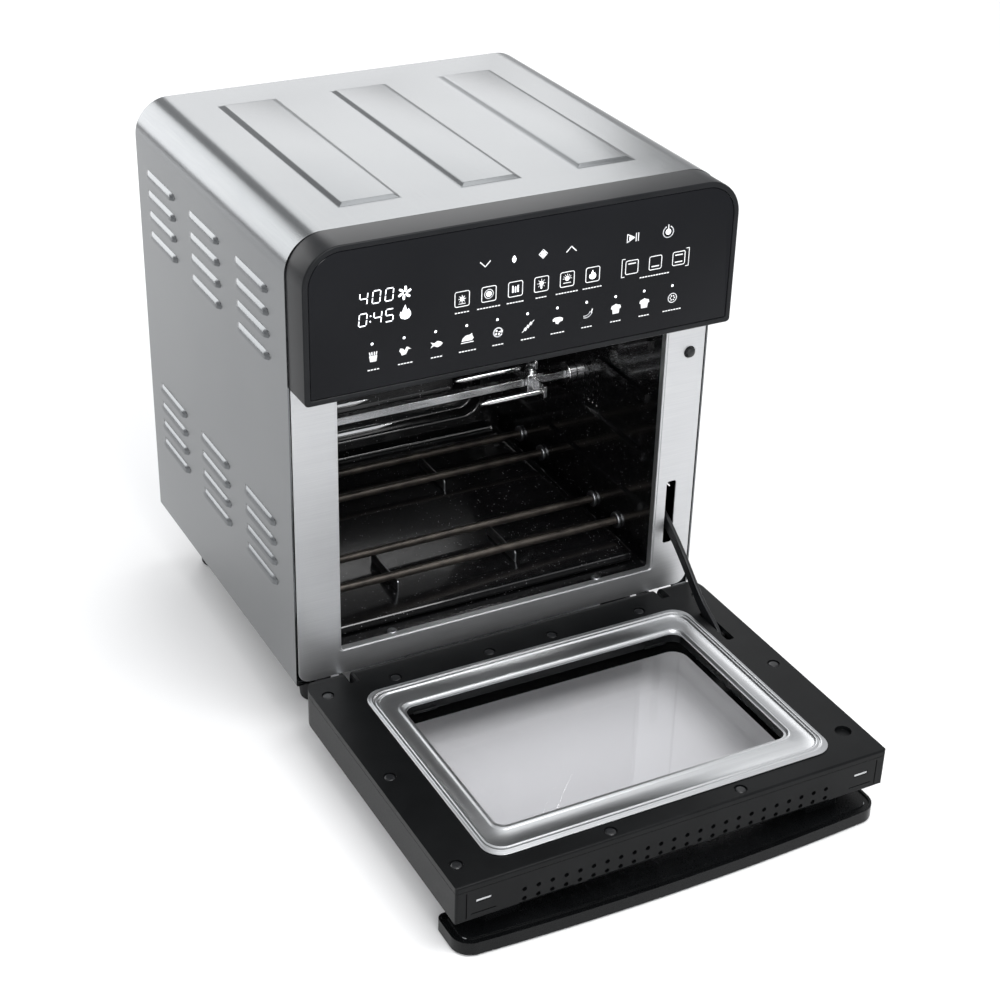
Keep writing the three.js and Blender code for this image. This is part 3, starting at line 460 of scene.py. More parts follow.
# One rounded outline after another, each extruded from the last and moved to its place.
# A ring is (low, high, radii, height).
def loftRings(rings, segments=8, closed=True, caps=(True, True)):
    def spots(ring):
        low, high, radii, height = ring
        part = bmesh.new()
        outlineFace(part, low, high, radii, segments)
        places = [(v.co.x, v.co.y, height) for v in part.verts]
        part.free()
        return places

    bm = bmesh.new()
    outlineFace(bm, *rings[0][:3], segments)
    current, edges = list(bm.verts), list(bm.edges)
    bmesh.ops.delete(bm, geom=bm.faces[:], context="FACES_ONLY")
    firstEdges = edges
    for vert, place in zip(current, spots(rings[0])):
        vert.co = place
    for ring in list(rings[1:]) + ([rings[0]] if closed else []):
        made = bmesh.ops.extrude_edge_only(bm, edges=edges)["geom"]
        fresh = {g for g in made if isinstance(g, bmesh.types.BMVert)}
        partners = []
        for vert in current:
            partners += [e.other_vert(vert) for e in vert.link_edges if e.other_vert(vert) in fresh]
        for vert, place in zip(partners, spots(ring)):
            vert.co = place
        edges = [g for g in made if isinstance(g, bmesh.types.BMEdge) and all(v in fresh for v in g.verts)]
        current = partners
    if closed:
        bmesh.ops.remove_doubles(bm, verts=bm.verts, dist=0.0001)
    for wanted, rim in zip(caps, (firstEdges, edges)):
        if wanted and not closed:
            bmesh.ops.edgeloop_fill(bm, edges=rim)
    bmesh.ops.recalc_face_normals(bm, faces=bm.faces)
    return bm


def sized(half, bottom, top, radii, height):
    return ((-half, bottom), (half, top), radii, height)


# A working copy of a CAD node in a working frame's millimetres, its flat faces whole again.
def copyOf(node, place=cabinetPlace):
    bm = bmesh.new()
    bm.from_mesh(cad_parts[node].data)
    bmesh.ops.transform(bm, matrix=place.inverted(), verts=bm.verts)
    bmesh.ops.remove_doubles(bm, verts=bm.verts, dist=0.01)
    bmesh.ops.dissolve_limit(bm, angle_limit=math.radians(1), verts=bm.verts, edges=bm.edges)
    bmesh.ops.recalc_face_normals(bm, faces=bm.faces)
    return bm


# Takes the cutter out of a shape.
def carve(bm, cutter):
    holders = []
    for name, shape in (("blank", bm), ("cutter", cutter)):
        mesh = bpy.data.meshes.new(name)
        shape.to_mesh(mesh)
        shape.free()
        holder = bpy.data.objects.new(name, mesh)
        bpy.context.scene.collection.objects.link(holder)
        holders.append(holder)
    cut = holders[0].modifiers.new("cut", "BOOLEAN")
    cut.object = holders[1]
    cut.operation = "DIFFERENCE"
    cut.solver = "EXACT"
    mesh = bpy.data.meshes.new_from_object(holders[0].evaluated_get(bpy.context.evaluated_depsgraph_get()))
    result = bmesh.new()
    result.from_mesh(mesh)
    for holder in holders:
        old = holder.data
        bpy.data.objects.remove(holder)
        bpy.data.meshes.remove(old)
    bpy.data.meshes.remove(mesh)
    bmesh.ops.remove_doubles(result, verts=result.verts, dist=0.005)
    return result


def cylinderPart(radius, bottom, top, steps=20):
    bm = bmesh.new()
    bmesh.ops.create_cone(
        bm,
        cap_ends=True,
        segments=steps,
        radius1=radius,
        radius2=radius,
        depth=top - bottom,
        matrix=Matrix.Translation((0, 0, (top + bottom) / 2)),
    )
    return bm


# Pan-head screw with a cross recess, its head facing +z.
screwSettings = {"recessReach": 0.62, "recessHalf": 0.16, "recessDepth": 0.45}


def screwPart(radius, height):
    bm = turnedPart([(0.0, -0.4), (radius, -0.4), (radius, height * 0.45), (radius * 0.86, height * 0.85),
                     (radius * 0.7, height)], 24)
    reach = radius * screwSettings["recessReach"]
    half = radius * screwSettings["recessHalf"]
    arm = [(reach, -half), (reach, half), (half, half)]
    corners = [Matrix.Rotation(turn * math.pi / 2, 2) @ Vector(spot) for turn in range(4) for spot in arm]
    cross = bm.faces.new([bm.verts.new((*corner, height)) for corner in corners])
    bmesh.ops.inset_individual(
        bm, faces=[cross], thickness=half * 0.25, depth=-radius * screwSettings["recessDepth"]
    )
    bmesh.ops.bridge_loops(bm, edges=[e for e in bm.edges if e.is_boundary])
    bmesh.ops.recalc_face_normals(bm, faces=bm.faces)
    return bm


# The cabinet's wrap-round sheet: an arch with louvres in its sides and a pressed roof.
shell = {
    "half": 165,
    "height": 345,
    "depth": 293,
    "radius": 27,
    "footRadius": 1.5,
    "sheet": 1.2,
    "floorLip": 151,
    "louvreColumns": (60, 150.5, 241),
    "louvreRows": [base + i * 16.2 for base in (71, 248) for i in range(4)],
    "louvreLength": 58,
    "louvreHeight": 5.2,
    "louvreProud": 2.6,
    "louvreEnds": 0.16,  # share of the half length over which an end closes
    "louvreMetal": 0.7,
    "slotInset": (1, 0.6),  # how far each slot stays inside its hood, along and up
    "embossCentres": (-90, 0, 90),
    "embossHalf": 23,
    "embossFront": 32,
    "embossBack": 254,
    "embossFlank": 5.5,
    "embossRise": 2,
    "embossRoll": 1.1,
}


def louvreHood(side, y, z):
    bm = bmesh.new()
    half = shell["louvreLength"] / 2
    tall = shell["louvreHeight"] / 2
    bmesh.ops.create_grid(bm, x_segments=18, y_segments=5, size=1)
    for vert in bm.verts:
        along, across = vert.co.x, vert.co.y  # -1..1 each, across +1 is the hinge at the top
        endRise = min(1, (1 - abs(along)) / shell["louvreEnds"])
        endRise = math.sin(endRise * math.pi / 2)
        fall = math.sin((1 - across) / 2 * math.pi / 2) ** 0.8
        vert.co = (along * half, across * tall, shell["louvreProud"] * endRise * fall)
    bmesh.ops.recalc_face_normals(bm, faces=bm.faces)
    bmesh.ops.solidify(bm, geom=bm.faces[:], thickness=shell["louvreMetal"])
    turn = toX if side > 0 else Matrix(((0, 0, -1), (1, 0, 0), (0, 1, 0))).to_4x4()
    return bm, Matrix.Translation((side * shell["half"], y, z)) @ turn


def makeShell():
    bm = bmesh.new()
    outlineFace(
        bm,
        (-shell["half"], 0),
        (shell["half"], shell["height"]),
        (shell["footRadius"], shell["footRadius"], shell["radius"], shell["radius"]),
        16,
    )
    bmesh.ops.transform(bm, matrix=toY, verts=bm.verts)
    bmesh.ops.delete(bm, geom=bm.faces[:], context="FACES_ONLY")
    made = bmesh.ops.extrude_edge_only(bm, edges=bm.edges[:])["geom"]
    bmesh.ops.translate(
        bm, verts=[g for g in made if isinstance(g, bmesh.types.BMVert)], vec=(0, shell["depth"], 0)
    )
    sliceFaces(bm, lambda f: abs(f.normal.z) > 0.9 and f.calc_center_median().z < 1, 0,
               (-shell["floorLip"], shell["floorLip"]))
    under = [f for f in bm.faces if f.calc_center_median().z < 0.1 and abs(f.calc_center_median().x) < 100]
    bmesh.ops.delete(bm, geom=under, context="FACES")

    def wall(f):
        return abs(f.calc_center_median().x) > shell["half"] - 0.01

    half = shell["louvreLength"] / 2 - shell["slotInset"][0]
    tall = shell["louvreHeight"] / 2 - shell["slotInset"][1]
    sliceFaces(bm, wall, 1, [y + s * half for y in shell["louvreColumns"] for s in (-1, 1)])
    sliceFaces(bm, wall, 2, [z + s * tall for z in shell["louvreRows"] for s in (-1, 1)])
    slotsCut = []
    for face in bm.faces:
        centre = face.calc_center_median()
        inColumn = any(abs(centre.y - y) < half for y in shell["louvreColumns"])
        inRow = any(abs(centre.z - z) < tall for z in shell["louvreRows"])
        if wall(face) and inColumn and inRow:
            slotsCut.append(face)
    bmesh.ops.delete(bm, geom=slotsCut, context="FACES")

    def roof(f):
        return f.calc_center_median().z > shell["height"] - 0.01

    edges = [x + s * shell["embossHalf"] for x in shell["embossCentres"] for s in (-1, 1)]
    sliceFaces(bm, roof, 0, edges)
    sliceFaces(bm, roof, 1, (shell["embossFront"], shell["embossBack"]))
    bmesh.ops.recalc_face_normals(bm, faces=bm.faces)
    upright = [f for f in bm.faces if roof(f)]
    if upright[0].normal.z < 0:
        bmesh.ops.reverse_faces(bm, faces=bm.faces)
    panels = []
    for face in bm.faces:
        centre = face.calc_center_median()
        near = any(abs(centre.x - x) < 1 for x in shell["embossCentres"])
        if roof(face) and near and shell["embossFront"] < centre.y < shell["embossBack"]:
            panels.append(face)
    bmesh.ops.inset_individual(
        bm, faces=panels, thickness=shell["embossFlank"], depth=shell["embossRise"]
    )
    rounded = [e for e in bm.edges if e.calc_length() > 3 and len(e.link_faces) == 2
               and 0.1 < e.calc_face_angle() < 1 and min(v.co.z for v in e.verts) > shell["height"] - 0.01]
    bmesh.ops.bevel(
        bm, geom=rounded, offset=shell["embossRoll"], affect="EDGES", segments=3, profile=0.5, material=-1
    )
    bmesh.ops.solidify(bm, geom=bm.faces[:], thickness=shell["sheet"])
    for side in (-1, 1):
        for y in shell["louvreColumns"]:
            for z in shell["louvreRows"]:
                hood, matrix = louvreHood(side, y, z)
                addPart(bm, hood, matrix)
    # The shell takes the darkened stainless: painted shade.
    finishPiece("cabinetShell", bm, shadeDarkenedShellSteel, "cabinet", ["outer_shell"], angle=25)


makeShell()
print("shell ready")

# The steel front plate round the opening.
front = {
    "half": 163.0,
    "bottom": 1.6,
    "top": 343,
    "lowRadius": 9,
    "highRadius": 25,
    "openingHalf": 131.3,
    "openingBottom": 20.5,
    "openingTop": 238,
    "openingRadius": 3,
    "sheet": 1.2,
    "slotNear": 139.5,
    "slotFar": 147.5,
    "slotBottom": 42,
    "slotTop": 96,
    "switchX": 150.5,
    "switchZ": 202.6,
    "switchHole": 4.6,
    "lipWidth": 1.6,
    "lipRise": 0.6,
    "lipDepth": 6,
    "lipTopRise": 1,
}


def makeFrontPlate():
    low = (-front["openingHalf"], front["openingBottom"])
    high = (front["openingHalf"], front["openingTop"])
    opening = (low, high, front["openingRadius"])
    radii = [front["lowRadius"]] * 2 + [front["highRadius"]] * 2
    edge = ((-front["half"], front["bottom"]), (front["half"], front["top"]), radii)
    bm = ringSlab(edge, opening, -front["sheet"], 0, 8)
    bmesh.ops.transform(bm, matrix=toY, verts=bm.verts)
    armSlot = ((front["slotNear"], front["slotBottom"]), (front["slotFar"], front["slotTop"]))
    cutter = roundedSlab(*armSlot, 2, -3, 2)
    switchHole = cylinderPart(front["switchHole"], -3, 2, 24)
    addPart(cutter, switchHole, Matrix.Translation((front["switchX"], front["switchZ"], 0)))
    bmesh.ops.transform(cutter, matrix=toY, verts=cutter.verts)
    bm = carve(bm, cutter)
    lipEdge = (
        (low[0] + front["lipWidth"], low[1] + front["lipRise"]),
        (high[0] - front["lipWidth"], high[1] - front["lipTopRise"]),
        front["openingRadius"] - 1,
    )
    addPart(bm, ringSlab(opening, lipEdge, -front["lipDepth"], -0.2, 8), toY)
    finishPiece("frontPlate", bm, steelFront, "cabinet", ["front_frame"], bevel=0.35)


makeFrontPlate()

# The control housing: a shallow tray whose rounded rim frames the glass.
housing = {
    "half": 164,
    "bottom": 236,
    "top": 345,
    "lowRadius": 3,
    "highRadius": 27,
    "back": 0.3,
    "front": 27.5,
    "edge": 1.1,  # rounding at the front edge
    "band": 2.6,  # black band between the edge and the reveal
    "reveal": 0.35,  # width of the step down to the ledge
    "ledge": 2.4,  # how far back the glass lies on
    "ledgeWidth": 8,
    "ledgeSheet": 2.6,
    "wall": 2.6,
    "glassGap": 0.25,
    "glassFront": 27.2,
    "glassSheet": 2.2,
}


def housingRing(inset, height):
    low = max(housing["lowRadius"] - inset * 0.6, 0.6)
    high = housing["highRadius"] - inset
    half, bottom, top = housing["half"] - inset, housing["bottom"] + inset, housing["top"] - inset
    return sized(half, bottom, top, (low, low, high, high), height)


def makeHousing():
    edge, frontZ = housing["edge"], housing["front"]
    flat = edge + housing["band"]
    inner = flat + housing["ledgeWidth"]
    reveal = flat + housing["reveal"]
    ledge = frontZ - housing["ledge"]
    rings = [housingRing(0, housing["back"]), housingRing(0, frontZ - edge)]
    for step in range(1, 5):
        angle = step * math.pi / 8
        rings.append(housingRing(edge * (1 - math.cos(angle)), frontZ - edge + edge * math.sin(angle)))
    rings += [
        housingRing(flat, frontZ),
        housingRing(reveal - 0.05, frontZ - 0.3),
        housingRing(reveal, ledge),
        housingRing(inner, ledge),
        housingRing(inner, ledge - housing["ledgeSheet"]),
        housingRing(housing["wall"], frontZ - 6),
        housingRing(housing["wall"] - 0.1, housing["back"]),
    ]
    body = loftRings(rings, 14)
    bmesh.ops.transform(body, matrix=toY, verts=body.verts)
    finishPiece("controlHousing", body, bezelPlastic, "cabinet", ["control_bezel"], angle=40)
    inset = reveal + housing["glassGap"]
    face = housing["glassFront"]
    steps = ((0, housing["glassSheet"]), (0, 0.5), (0.15, 0.15), (0.5, 0))  # inward, back from the face
    glass = loftRings([housingRing(inset + inward, face - back) for inward, back in steps], 14, closed=False)
    bmesh.ops.transform(glass, matrix=toY, verts=glass.verts)
    finishPiece("controlGlass", glass, panelGlass, "cabinet", ["control_glass"], angle=20)


makeHousing()

# The marks are thin ink on the glass. Places are in millimetres across and up the panel.
marks = {
    "height": 0.06,  # ink thickness
    "stroke": 0.55,
    "digitWidth": 5.4,
    "digitHeight": 8.6,
    "digitStroke": 1.15,
    "digitSlant": 0.10,
    "digits": (
        # digit, x, z
        ("4", -125, 301.2), ("0", -115.9, 301.2), ("0", -106.8, 301.2),
        ("0", -125.6, 286.6), ("4", -115.2, 286.6), ("5", -106.8, 286.6),
    ),
    "colon": ((-117.3, 288.9), (-117.0, 292.7)),
    "fan": (-92.8, 304.6),
    "flame": (-92.3, 291.2, 5.2),
    "upperRow": 314.3,
    "arrows": ((-34.5, -1), (30.4, 1)),  # x, 1 for up
    "drop": -13,
    "diamond": 8.8,
    "play": 78,
    "power": 106.5,
    "boxRow": 292.7,
    "boxHalf": 5.6,
    "boxXs": (-51.1, -31.3, -11.4, 8.3, 28.1, 47.9),
    "boxLabel": 283.0,
    "boxLabelWidths": (10, 16, 13, 9, 17, 15),
    "heaterHalf": 5.2,
    "heaterBars": ((78.8, (1,)), (97.7, (-1,)), (116.6, (1, -1))),  # x, bars above or below
    "heaterBrackets": ((70.8, 1), (124.8, -1)),
    "heaterLabel": (97.4, 283.4, 24),
    "lampRow": 272.8,
    "lampXs": [-116.1 + 22.91 * i for i in range(11)],
    "iconRow": 263.4,
    "iconShift": 0.7,
    "iconLabel": 254.2,
    "labelWidths": (9, 11, 7, 13, 9, 10, 10, 8, 8, 8, 15),
    "labelDash": 1.5,
    "labelSpace": 0.7,
}

# Outlines of the symbols, in millimetres or, for the flame, in shares of its size.
outlines = {
    "flame": [
        (-0.1, -1), (-0.62, -0.78), (-0.78, -0.3), (-0.62, 0.15), (-0.46, -0.08), (-0.3, 0.42), (0.0, 1.0),
        (0.12, 0.5), (0.34, 0.12), (0.44, 0.42), (0.74, -0.1), (0.76, -0.5), (0.5, -0.88), (0.14, -1),
    ],
    "fanBlade": [(0.9, -0.3), (3.1, -0.9), (5.0, -0.1), (4.6, 1.1), (2.6, 0.9), (0.9, 0.4)],
    "drop": [
        (0, -2.6), (-1.3, -1.5), (-1.5, 0.2), (-0.9, 1.7), (0, 2.6), (0.9, 1.7), (1.5, 0.2), (1.3, -1.5),
    ],
    "play": [(-2.4, -1.6), (0.4, 0), (-2.4, 1.6)],
    "tub": [(-2.2, -3.4), (2.2, -3.4), (2.9, 0.9), (-2.9, 0.9)],
    "bird": [
        (-4.2, 0.2), (-3.4, 2.2), (-1.4, 1.6), (-0.4, 0.2), (1.2, 2.6), (2.0, 2.4), (4.4, 0.6), (2.4, 0.8),
        (0.6, -2.6), (-2.4, -3.0), (-3.0, -1.2),
    ],
    "fish": [
        (-4.4, 2.2), (-2.8, 0.2), (-4.4, -2.0), (-1.8, -0.9), (0.8, -2.2), (3.4, -1.2), (4.6, 0.2),
        (3.2, 1.6), (0.8, 2.4), (-1.6, 1.1),
    ],
    "roast": [
        (-4.4, -1.8), (-3.4, 0.6), (-1.2, 2.2), (1.6, 2.4), (3.4, 3.2), (3.6, 1.6), (4.6, -0.2), (3.6, -1.8),
    ],
    "slice": [(0, 0.2), (3.4, -0.9), (3.8, 1.4)],
    "cube": [(-1.3, -0.2), (0.2, -1.5), (1.3, 0.2), (-0.2, 1.5)],
    "steak": [
        (-4.0, 1.2), (-2.2, 2.4), (1.6, 2.4), (4.0, 1.2), (3.8, -0.8), (1.6, -1.2), (0.4, -2.8), (-1.6, -2.0),
        (-1.8, -0.4), (-3.8, -0.2),
    ],
    "loaf": [
        (-2.4, -3.4), (2.4, -3.4), (2.8, -0.2), (4.0, 0.6), (3.4, 2.6), (1.2, 3.2), (0.0, 3.8), (-1.6, 3.2),
        (-3.4, 2.6), (-4.0, 0.6), (-2.8, -0.2),
    ],
}


def barMark(bm, x0, z0, x1, z1, width):
    length = math.hypot(x1 - x0, z1 - z0)
    part = bmesh.new()
    bmesh.ops.create_cube(part, size=1, matrix=Matrix.Diagonal((length + width, width, marks["height"], 1)))
    turn = Matrix.Rotation(math.atan2(z1 - z0, x1 - x0), 4, "Z")
    addPart(bm, part, Matrix.Translation(((x0 + x1) / 2, (z0 + z1) / 2, 0)) @ turn)


def outlineMark(bm, name, x, z, size=1, turn=0):
    part = bmesh.new()
    spin = Matrix.Rotation(turn, 2)
    spots = [Vector((x, z)) + spin @ Vector(spot) * size for spot in outlines[name]]
    face = part.faces.new([part.verts.new((*spot, -marks["height"] / 2)) for spot in spots])
    made = bmesh.ops.extrude_face_region(part, geom=[face])["geom"]
    raised = [g for g in made if isinstance(g, bmesh.types.BMVert)]
    bmesh.ops.translate(part, verts=raised, vec=(0, 0, marks["height"]))
    bmesh.ops.recalc_face_normals(part, faces=part.faces)
    addPart(bm, part)


def discMark(bm, x, z, radius, steps=14):
    disc = cylinderPart(radius, -marks["height"] / 2, marks["height"] / 2, steps)
    addPart(bm, disc, Matrix.Translation((x, z, 0)))


def arcMark(bm, x, z, radius, start, end, width, steps=16):
    angles = [start + (end - start) * i / steps for i in range(steps + 1)]
    for a, b in zip(angles, angles[1:]):
        barMark(bm, x + radius * math.cos(a), z + radius * math.sin(a), x + radius * math.cos(b),
                z + radius * math.sin(b), width)


def rayMarks(bm, x, z, inner, outer, width, angles):
    for a in angles:
        barMark(bm, x + inner * math.cos(a), z + inner * math.sin(a), x + outer * math.cos(a),
                z + outer * math.sin(a), width)


def boxMark(bm, x, z, half, radius, width):
    inner = half - width
    outside = ((x - half, z - half), (x + half, z + half), radius)
    inside = ((x - inner, z - inner), (x + inner, z + inner), radius - width)
    addPart(bm, ringSlab(outside, inside, -marks["height"] / 2, marks["height"] / 2, 4))


def labelMark(bm, x, z, width):
    dash, space = marks["labelDash"], marks["labelSpace"]
    count = max(2, round((width + space) / (dash + space)))
    start = x - (count * (dash + space) - space) / 2
    for i in range(count):
        left = start + i * (dash + space)
        barMark(bm, left + 0.3, z, left + dash - 0.3, z, 0.75)


# The strokes of a digit: top, upper right, lower right, bottom, lower left, upper left, middle.
digitStrokes = {"0": "012345", "4": "1256", "5": "02356"}


def digitMark(bm, digit, x, z):
    w, h, slant = marks["digitWidth"], marks["digitHeight"], marks["digitSlant"]
    gap = marks["digitStroke"] * 0.75
    ends = (
        (gap, h, w - gap, h),
        (w, h - gap, w, h / 2 + gap),
        (w, h / 2 - gap, w, gap),
        (gap, 0, w - gap, 0),
        (0, h / 2 - gap, 0, gap),
        (0, h - gap, 0, h / 2 + gap),
        (gap, h / 2, w - gap, h / 2),
    )
    for stroke in digitStrokes[digit]:
        x0, z0, x1, z1 = ends[int(stroke)]
        barMark(bm, x + x0 + slant * z0, z + z0, x + x1 + slant * z1, z + z1, marks["digitStroke"] * 0.62)


def markDisplay(lit):
    for digit, x, z in marks["digits"]:
        digitMark(lit, digit, x, z)
    for x, z in marks["colon"]:
        discMark(lit, x, z, 0.55)
    for i in range(6):
        outlineMark(lit, "fanBlade", *marks["fan"], turn=i * math.tau / 6 + 0.3)
    outlineMark(lit, "flame", *marks["flame"])


def markUpperRow(lit, ink):
    z = marks["upperRow"]
    for x, sign in marks["arrows"]:
        barMark(ink, x - 3.6, z - sign * 1.8, x, z + sign * 1.8, 0.7)
        barMark(ink, x, z + sign * 1.8, x + 3.6, z - sign * 1.8, 0.7)
    outlineMark(lit, "drop", marks["drop"], z)
    discMark(lit, marks["diamond"], z, 1.9)
    arcMark(ink, marks["diamond"], z, 3.2, 0, math.tau, 0.5, 4)
    x = marks["play"]
    for x0, z0, x1, z1 in ((-4.2, -3, -4.2, 3), (-4.2, 3, 1.6, 0), (1.6, 0, -4.2, -3)):
        barMark(ink, x + x0, z + z0, x + x1, z + z1, 0.6)
    outlineMark(lit, "play", x, z)
    for offset in (2.8, 4.6):
        barMark(ink, x + offset, z - 2.8, x + offset, z + 2.8, 0.6)
    x = marks["power"]
    arcMark(ink, x, z - 0.4, 4.1, math.radians(118), math.radians(422), 0.7, 26)
    barMark(ink, x, z + 1.2, x, z + 4.6, 0.7)
    discMark(lit, x, z - 0.4, 2.1)


def markModes(lit, ink):
    z = marks["boxRow"]
    for x, width in zip(marks["boxXs"], marks["boxLabelWidths"]):
        boxMark(ink, x, z, marks["boxHalf"], 1.6, marks["stroke"])
        labelMark(ink, x, marks["boxLabel"], width)
    roast, bake, toast, lamp, dawn, broil = marks["boxXs"]
    around = [i * math.tau / 8 for i in range(8)]
    rayMarks(ink, roast, z, 1.6, 2.6, 0.45, around)
    rayMarks(ink, lamp, z + 0.5, 2.1, 3.1, 0.35, around)
    discMark(lit, roast, z, 1.5)
    barMark(ink, roast - 2.4, z - 3.4, roast + 2.4, z - 3.4, 0.45)
    discMark(lit, bake, z, 2.0)
    arcMark(ink, bake, z, 3.2, 0, math.tau, 0.5, 20)
    for offset, top in ((-2, 2.0), (0, 1.2), (2, 2.0)):
        barMark(lit, toast + offset, z - 2.0, toast + offset, z + top, 0.9)
    discMark(lit, lamp, z + 0.6, 1.5)
    barMark(lit, lamp, z - 2.8, lamp, z - 1.2, 1.0)
    discMark(lit, dawn, z + 0.5, 1.6)
    rayMarks(ink, dawn, z + 0.5, 2.3, 3.2, 0.4, [math.pi * i / 6 for i in range(7)])
    barMark(ink, dawn - 2.8, z - 2.6, dawn + 2.8, z - 2.6, 0.5)
    outlineMark(lit, "flame", broil, z, 3.4)


def markHeaters(ink):
    z = marks["boxRow"]
    for x, bars in marks["heaterBars"]:
        boxMark(ink, x, z, marks["heaterHalf"], 1.5, marks["stroke"])
        for sign in bars:
            barMark(ink, x - 2.6, z + sign * 2.6, x + 2.6, z + sign * 2.6, 0.8)
    for x, sign in marks["heaterBrackets"]:
        barMark(ink, x, z - 6.6, x, z + 6.6, 0.5)
        for end in (-6.6, 6.6):
            barMark(ink, x, z + end, x + sign * 2.2, z + end, 0.5)
    labelMark(ink, *marks["heaterLabel"])


def markFoods(lit, ink):
    z = marks["iconRow"]
    for x, width in zip(marks["lampXs"], marks["labelWidths"]):
        discMark(lit, x, marks["lampRow"], 0.95)
        labelMark(ink, x + 0.8, marks["iconLabel"], width)
    xs = [x + marks["iconShift"] for x in marks["lampXs"]]
    fries, wing, fish, roast, pizza, skewer, steak, bacon, toast, bread, cookie = xs
    outlineMark(ink, "tub", fries, z)
    for offset in (-2.2, -0.8, 0.8, 2.2):
        barMark(ink, fries + offset, z + 1.6, fries + offset * 1.15, z + 3.2, 0.8)
    outlineMark(ink, "bird", wing, z)
    outlineMark(ink, "fish", fish, z)
    outlineMark(ink, "roast", roast, z)
    barMark(ink, roast - 4.4, z - 3.0, roast + 4.4, z - 3.0, 0.6)
    arcMark(ink, pizza, z, 3.2, 0.6, math.tau - 0.6, 0.9, 18)
    for px, pz in ((-1.1, 1.1), (-1.4, -1.1), (0.7, -1.4)):
        discMark(ink, pizza + px, z + pz, 0.8, 10)
    outlineMark(ink, "slice", pizza, z)
    barMark(ink, skewer - 4.2, z - 3.6, skewer + 4.4, z + 3.8, 0.5)
    for offset in (-2.0, 0, 2.0):
        outlineMark(ink, "cube", skewer + offset, z + offset * 0.86)
    outlineMark(ink, "steak", steak, z)
    arcMark(ink, bacon - 1.0, z + 3.0, 5.2, math.radians(255), math.radians(338), 0.6, 10)
    arcMark(ink, bacon - 1.8, z + 3.8, 4.6, math.radians(262), math.radians(335), 0.6, 10)
    barMark(ink, bacon + 3.4, z + 1.2, bacon + 4.0, z + 3.4, 0.8)
    for x in (toast, bread):
        outlineMark(ink, "loaf", x, z)
    arcMark(ink, cookie, z, 3.4, 0, math.tau, 0.6, 22)
    for i in range(6):
        angle = i * math.tau / 6
        discMark(ink, cookie + 1.7 * math.cos(angle), z + 1.7 * math.sin(angle), 0.55, 8)


def makeMarks():
    lit, ink = bmesh.new(), bmesh.new()
    markDisplay(lit)
    markUpperRow(lit, ink)
    markModes(lit, ink)
    markHeaters(ink)
    markFoods(lit, ink)
    lift = housing["glassFront"] + marks["height"] / 2 + 0.02
    # The printed marks take the ink with a painted faint glow.
    for name, bm, material in (("litMarks", lit, inkLit), ("printedMarks", ink, faintGlowInk)):
        bmesh.ops.transform(bm, matrix=toY @ Matrix.Translation((0, 0, lift)), verts=bm.verts)
        finishPiece(name, bm, material, "cabinet", [])


makeMarks()
print("control panel ready")

# The door, in its own frame: toBack turns a shape towards the oven there.
door = {
    "inner": 14.5,  # face towards the oven
    "top": 238.5,
    "ventPitch": 10.1,
    "ventCount": 24,
    "ventRows": (-3.0, -10.6),
    "ventRadius": 1.75,
    "ventDepth": 2.2,
    "clipX": 145,
    "clipHalf": 5.5,
    "clipDepth": 1.8,
    "grooves": (
        # low x, low y, high x, high y and depth of the moulding lines in the top edge
        (-154, -9.6, -136, -8.9, 0.8), (-157.8, -12, -157, 8, 0.8), (136, -9.6, 154, -8.9, 0.8),
        (157, -12, 157.8, 8, 0.8), (-70, -13.55, 10, -12.85, 0.9), (30, -13.55, 120, -12.85, 0.9),
        (-120, -13.55, -80, -12.85, 0.9),
    ),
    "screws": (
        (-154, 15), (-101.6, 15), (-26, 15), (26, 15), (101.6, 15), (154, 15), (-154, 118), (154, 118),
        (-154, 217), (-50, 231), (50, 231),
    ),
    "screwRadius": 3.6,
    "screwHeight": 0.9,
    "seatRadius": 4.6,
    "seatDepth": 1.2,
}


def makeDoorShell():
    top, half, depth = door["top"], door["clipHalf"], door["clipDepth"]
    clipXs = (-door["clipX"], door["clipX"])
    cutter = bmesh.new()
    middle = (door["ventCount"] - 1) / 2
    for i in range(door["ventCount"]):
        for y in door["ventRows"]:
            hole = cylinderPart(door["ventRadius"], -door["ventDepth"], 1, 12)
            addPart(cutter, hole, Matrix.Translation(((i - middle) * door["ventPitch"], y, top)))
    for x in clipXs:
        addPart(cutter, blockPart((x - half, -1.2, top - depth), (x + half, 1.2, top + 1)))
    for lowX, lowY, highX, highY, sunk in door["grooves"]:
        addPart(cutter, blockPart((lowX, lowY, top - sunk), (highX, highY, top + 1)))
    surround = carve(copyOf("door_outer_frame", doorPlace), cutter)
    finishPiece("doorSurround", surround, doorPlastic, "door", ["door_outer_frame"], doorPlace, 0.5)
    clips = bmesh.new()
    for x in clipXs:
        clip = blockPart((x - half + 0.2, -0.9, top - depth + 0.05), (x + half - 0.2, 0.9, top - 0.3), 0.25)
        addPart(clips, clip)
    finishPiece("doorClips", clips, steelTrim, "door", [], doorPlace)

    inner, sunk = door["inner"], door["seatDepth"]
    seats = bmesh.new()
    for x, z in door["screws"]:
        seat = cylinderPart(door["seatRadius"], -sunk, 1, 20)
        addPart(seats, seat, Matrix.Translation((x, inner, z)) @ toBack)
    cover = carve(copyOf("door_inner_cover", doorPlace), seats)
    finishPiece("doorCover", cover, doorPlastic, "door", ["door_inner_cover"], doorPlace, 0.5)
    heads = bmesh.new()
    for x, z in door["screws"]:
        turn = Matrix.Rotation(random.uniform(0, 1.5), 4, "Z")
        place = Matrix.Translation((x, inner - sunk + 0.05, z)) @ toBack @ turn
        addPart(heads, screwPart(door["screwRadius"], door["screwHeight"]), place)
    finishPiece("doorCoverScrews", heads, armPlastic, "door", [], doorPlace, angle=25)


makeDoorShell()

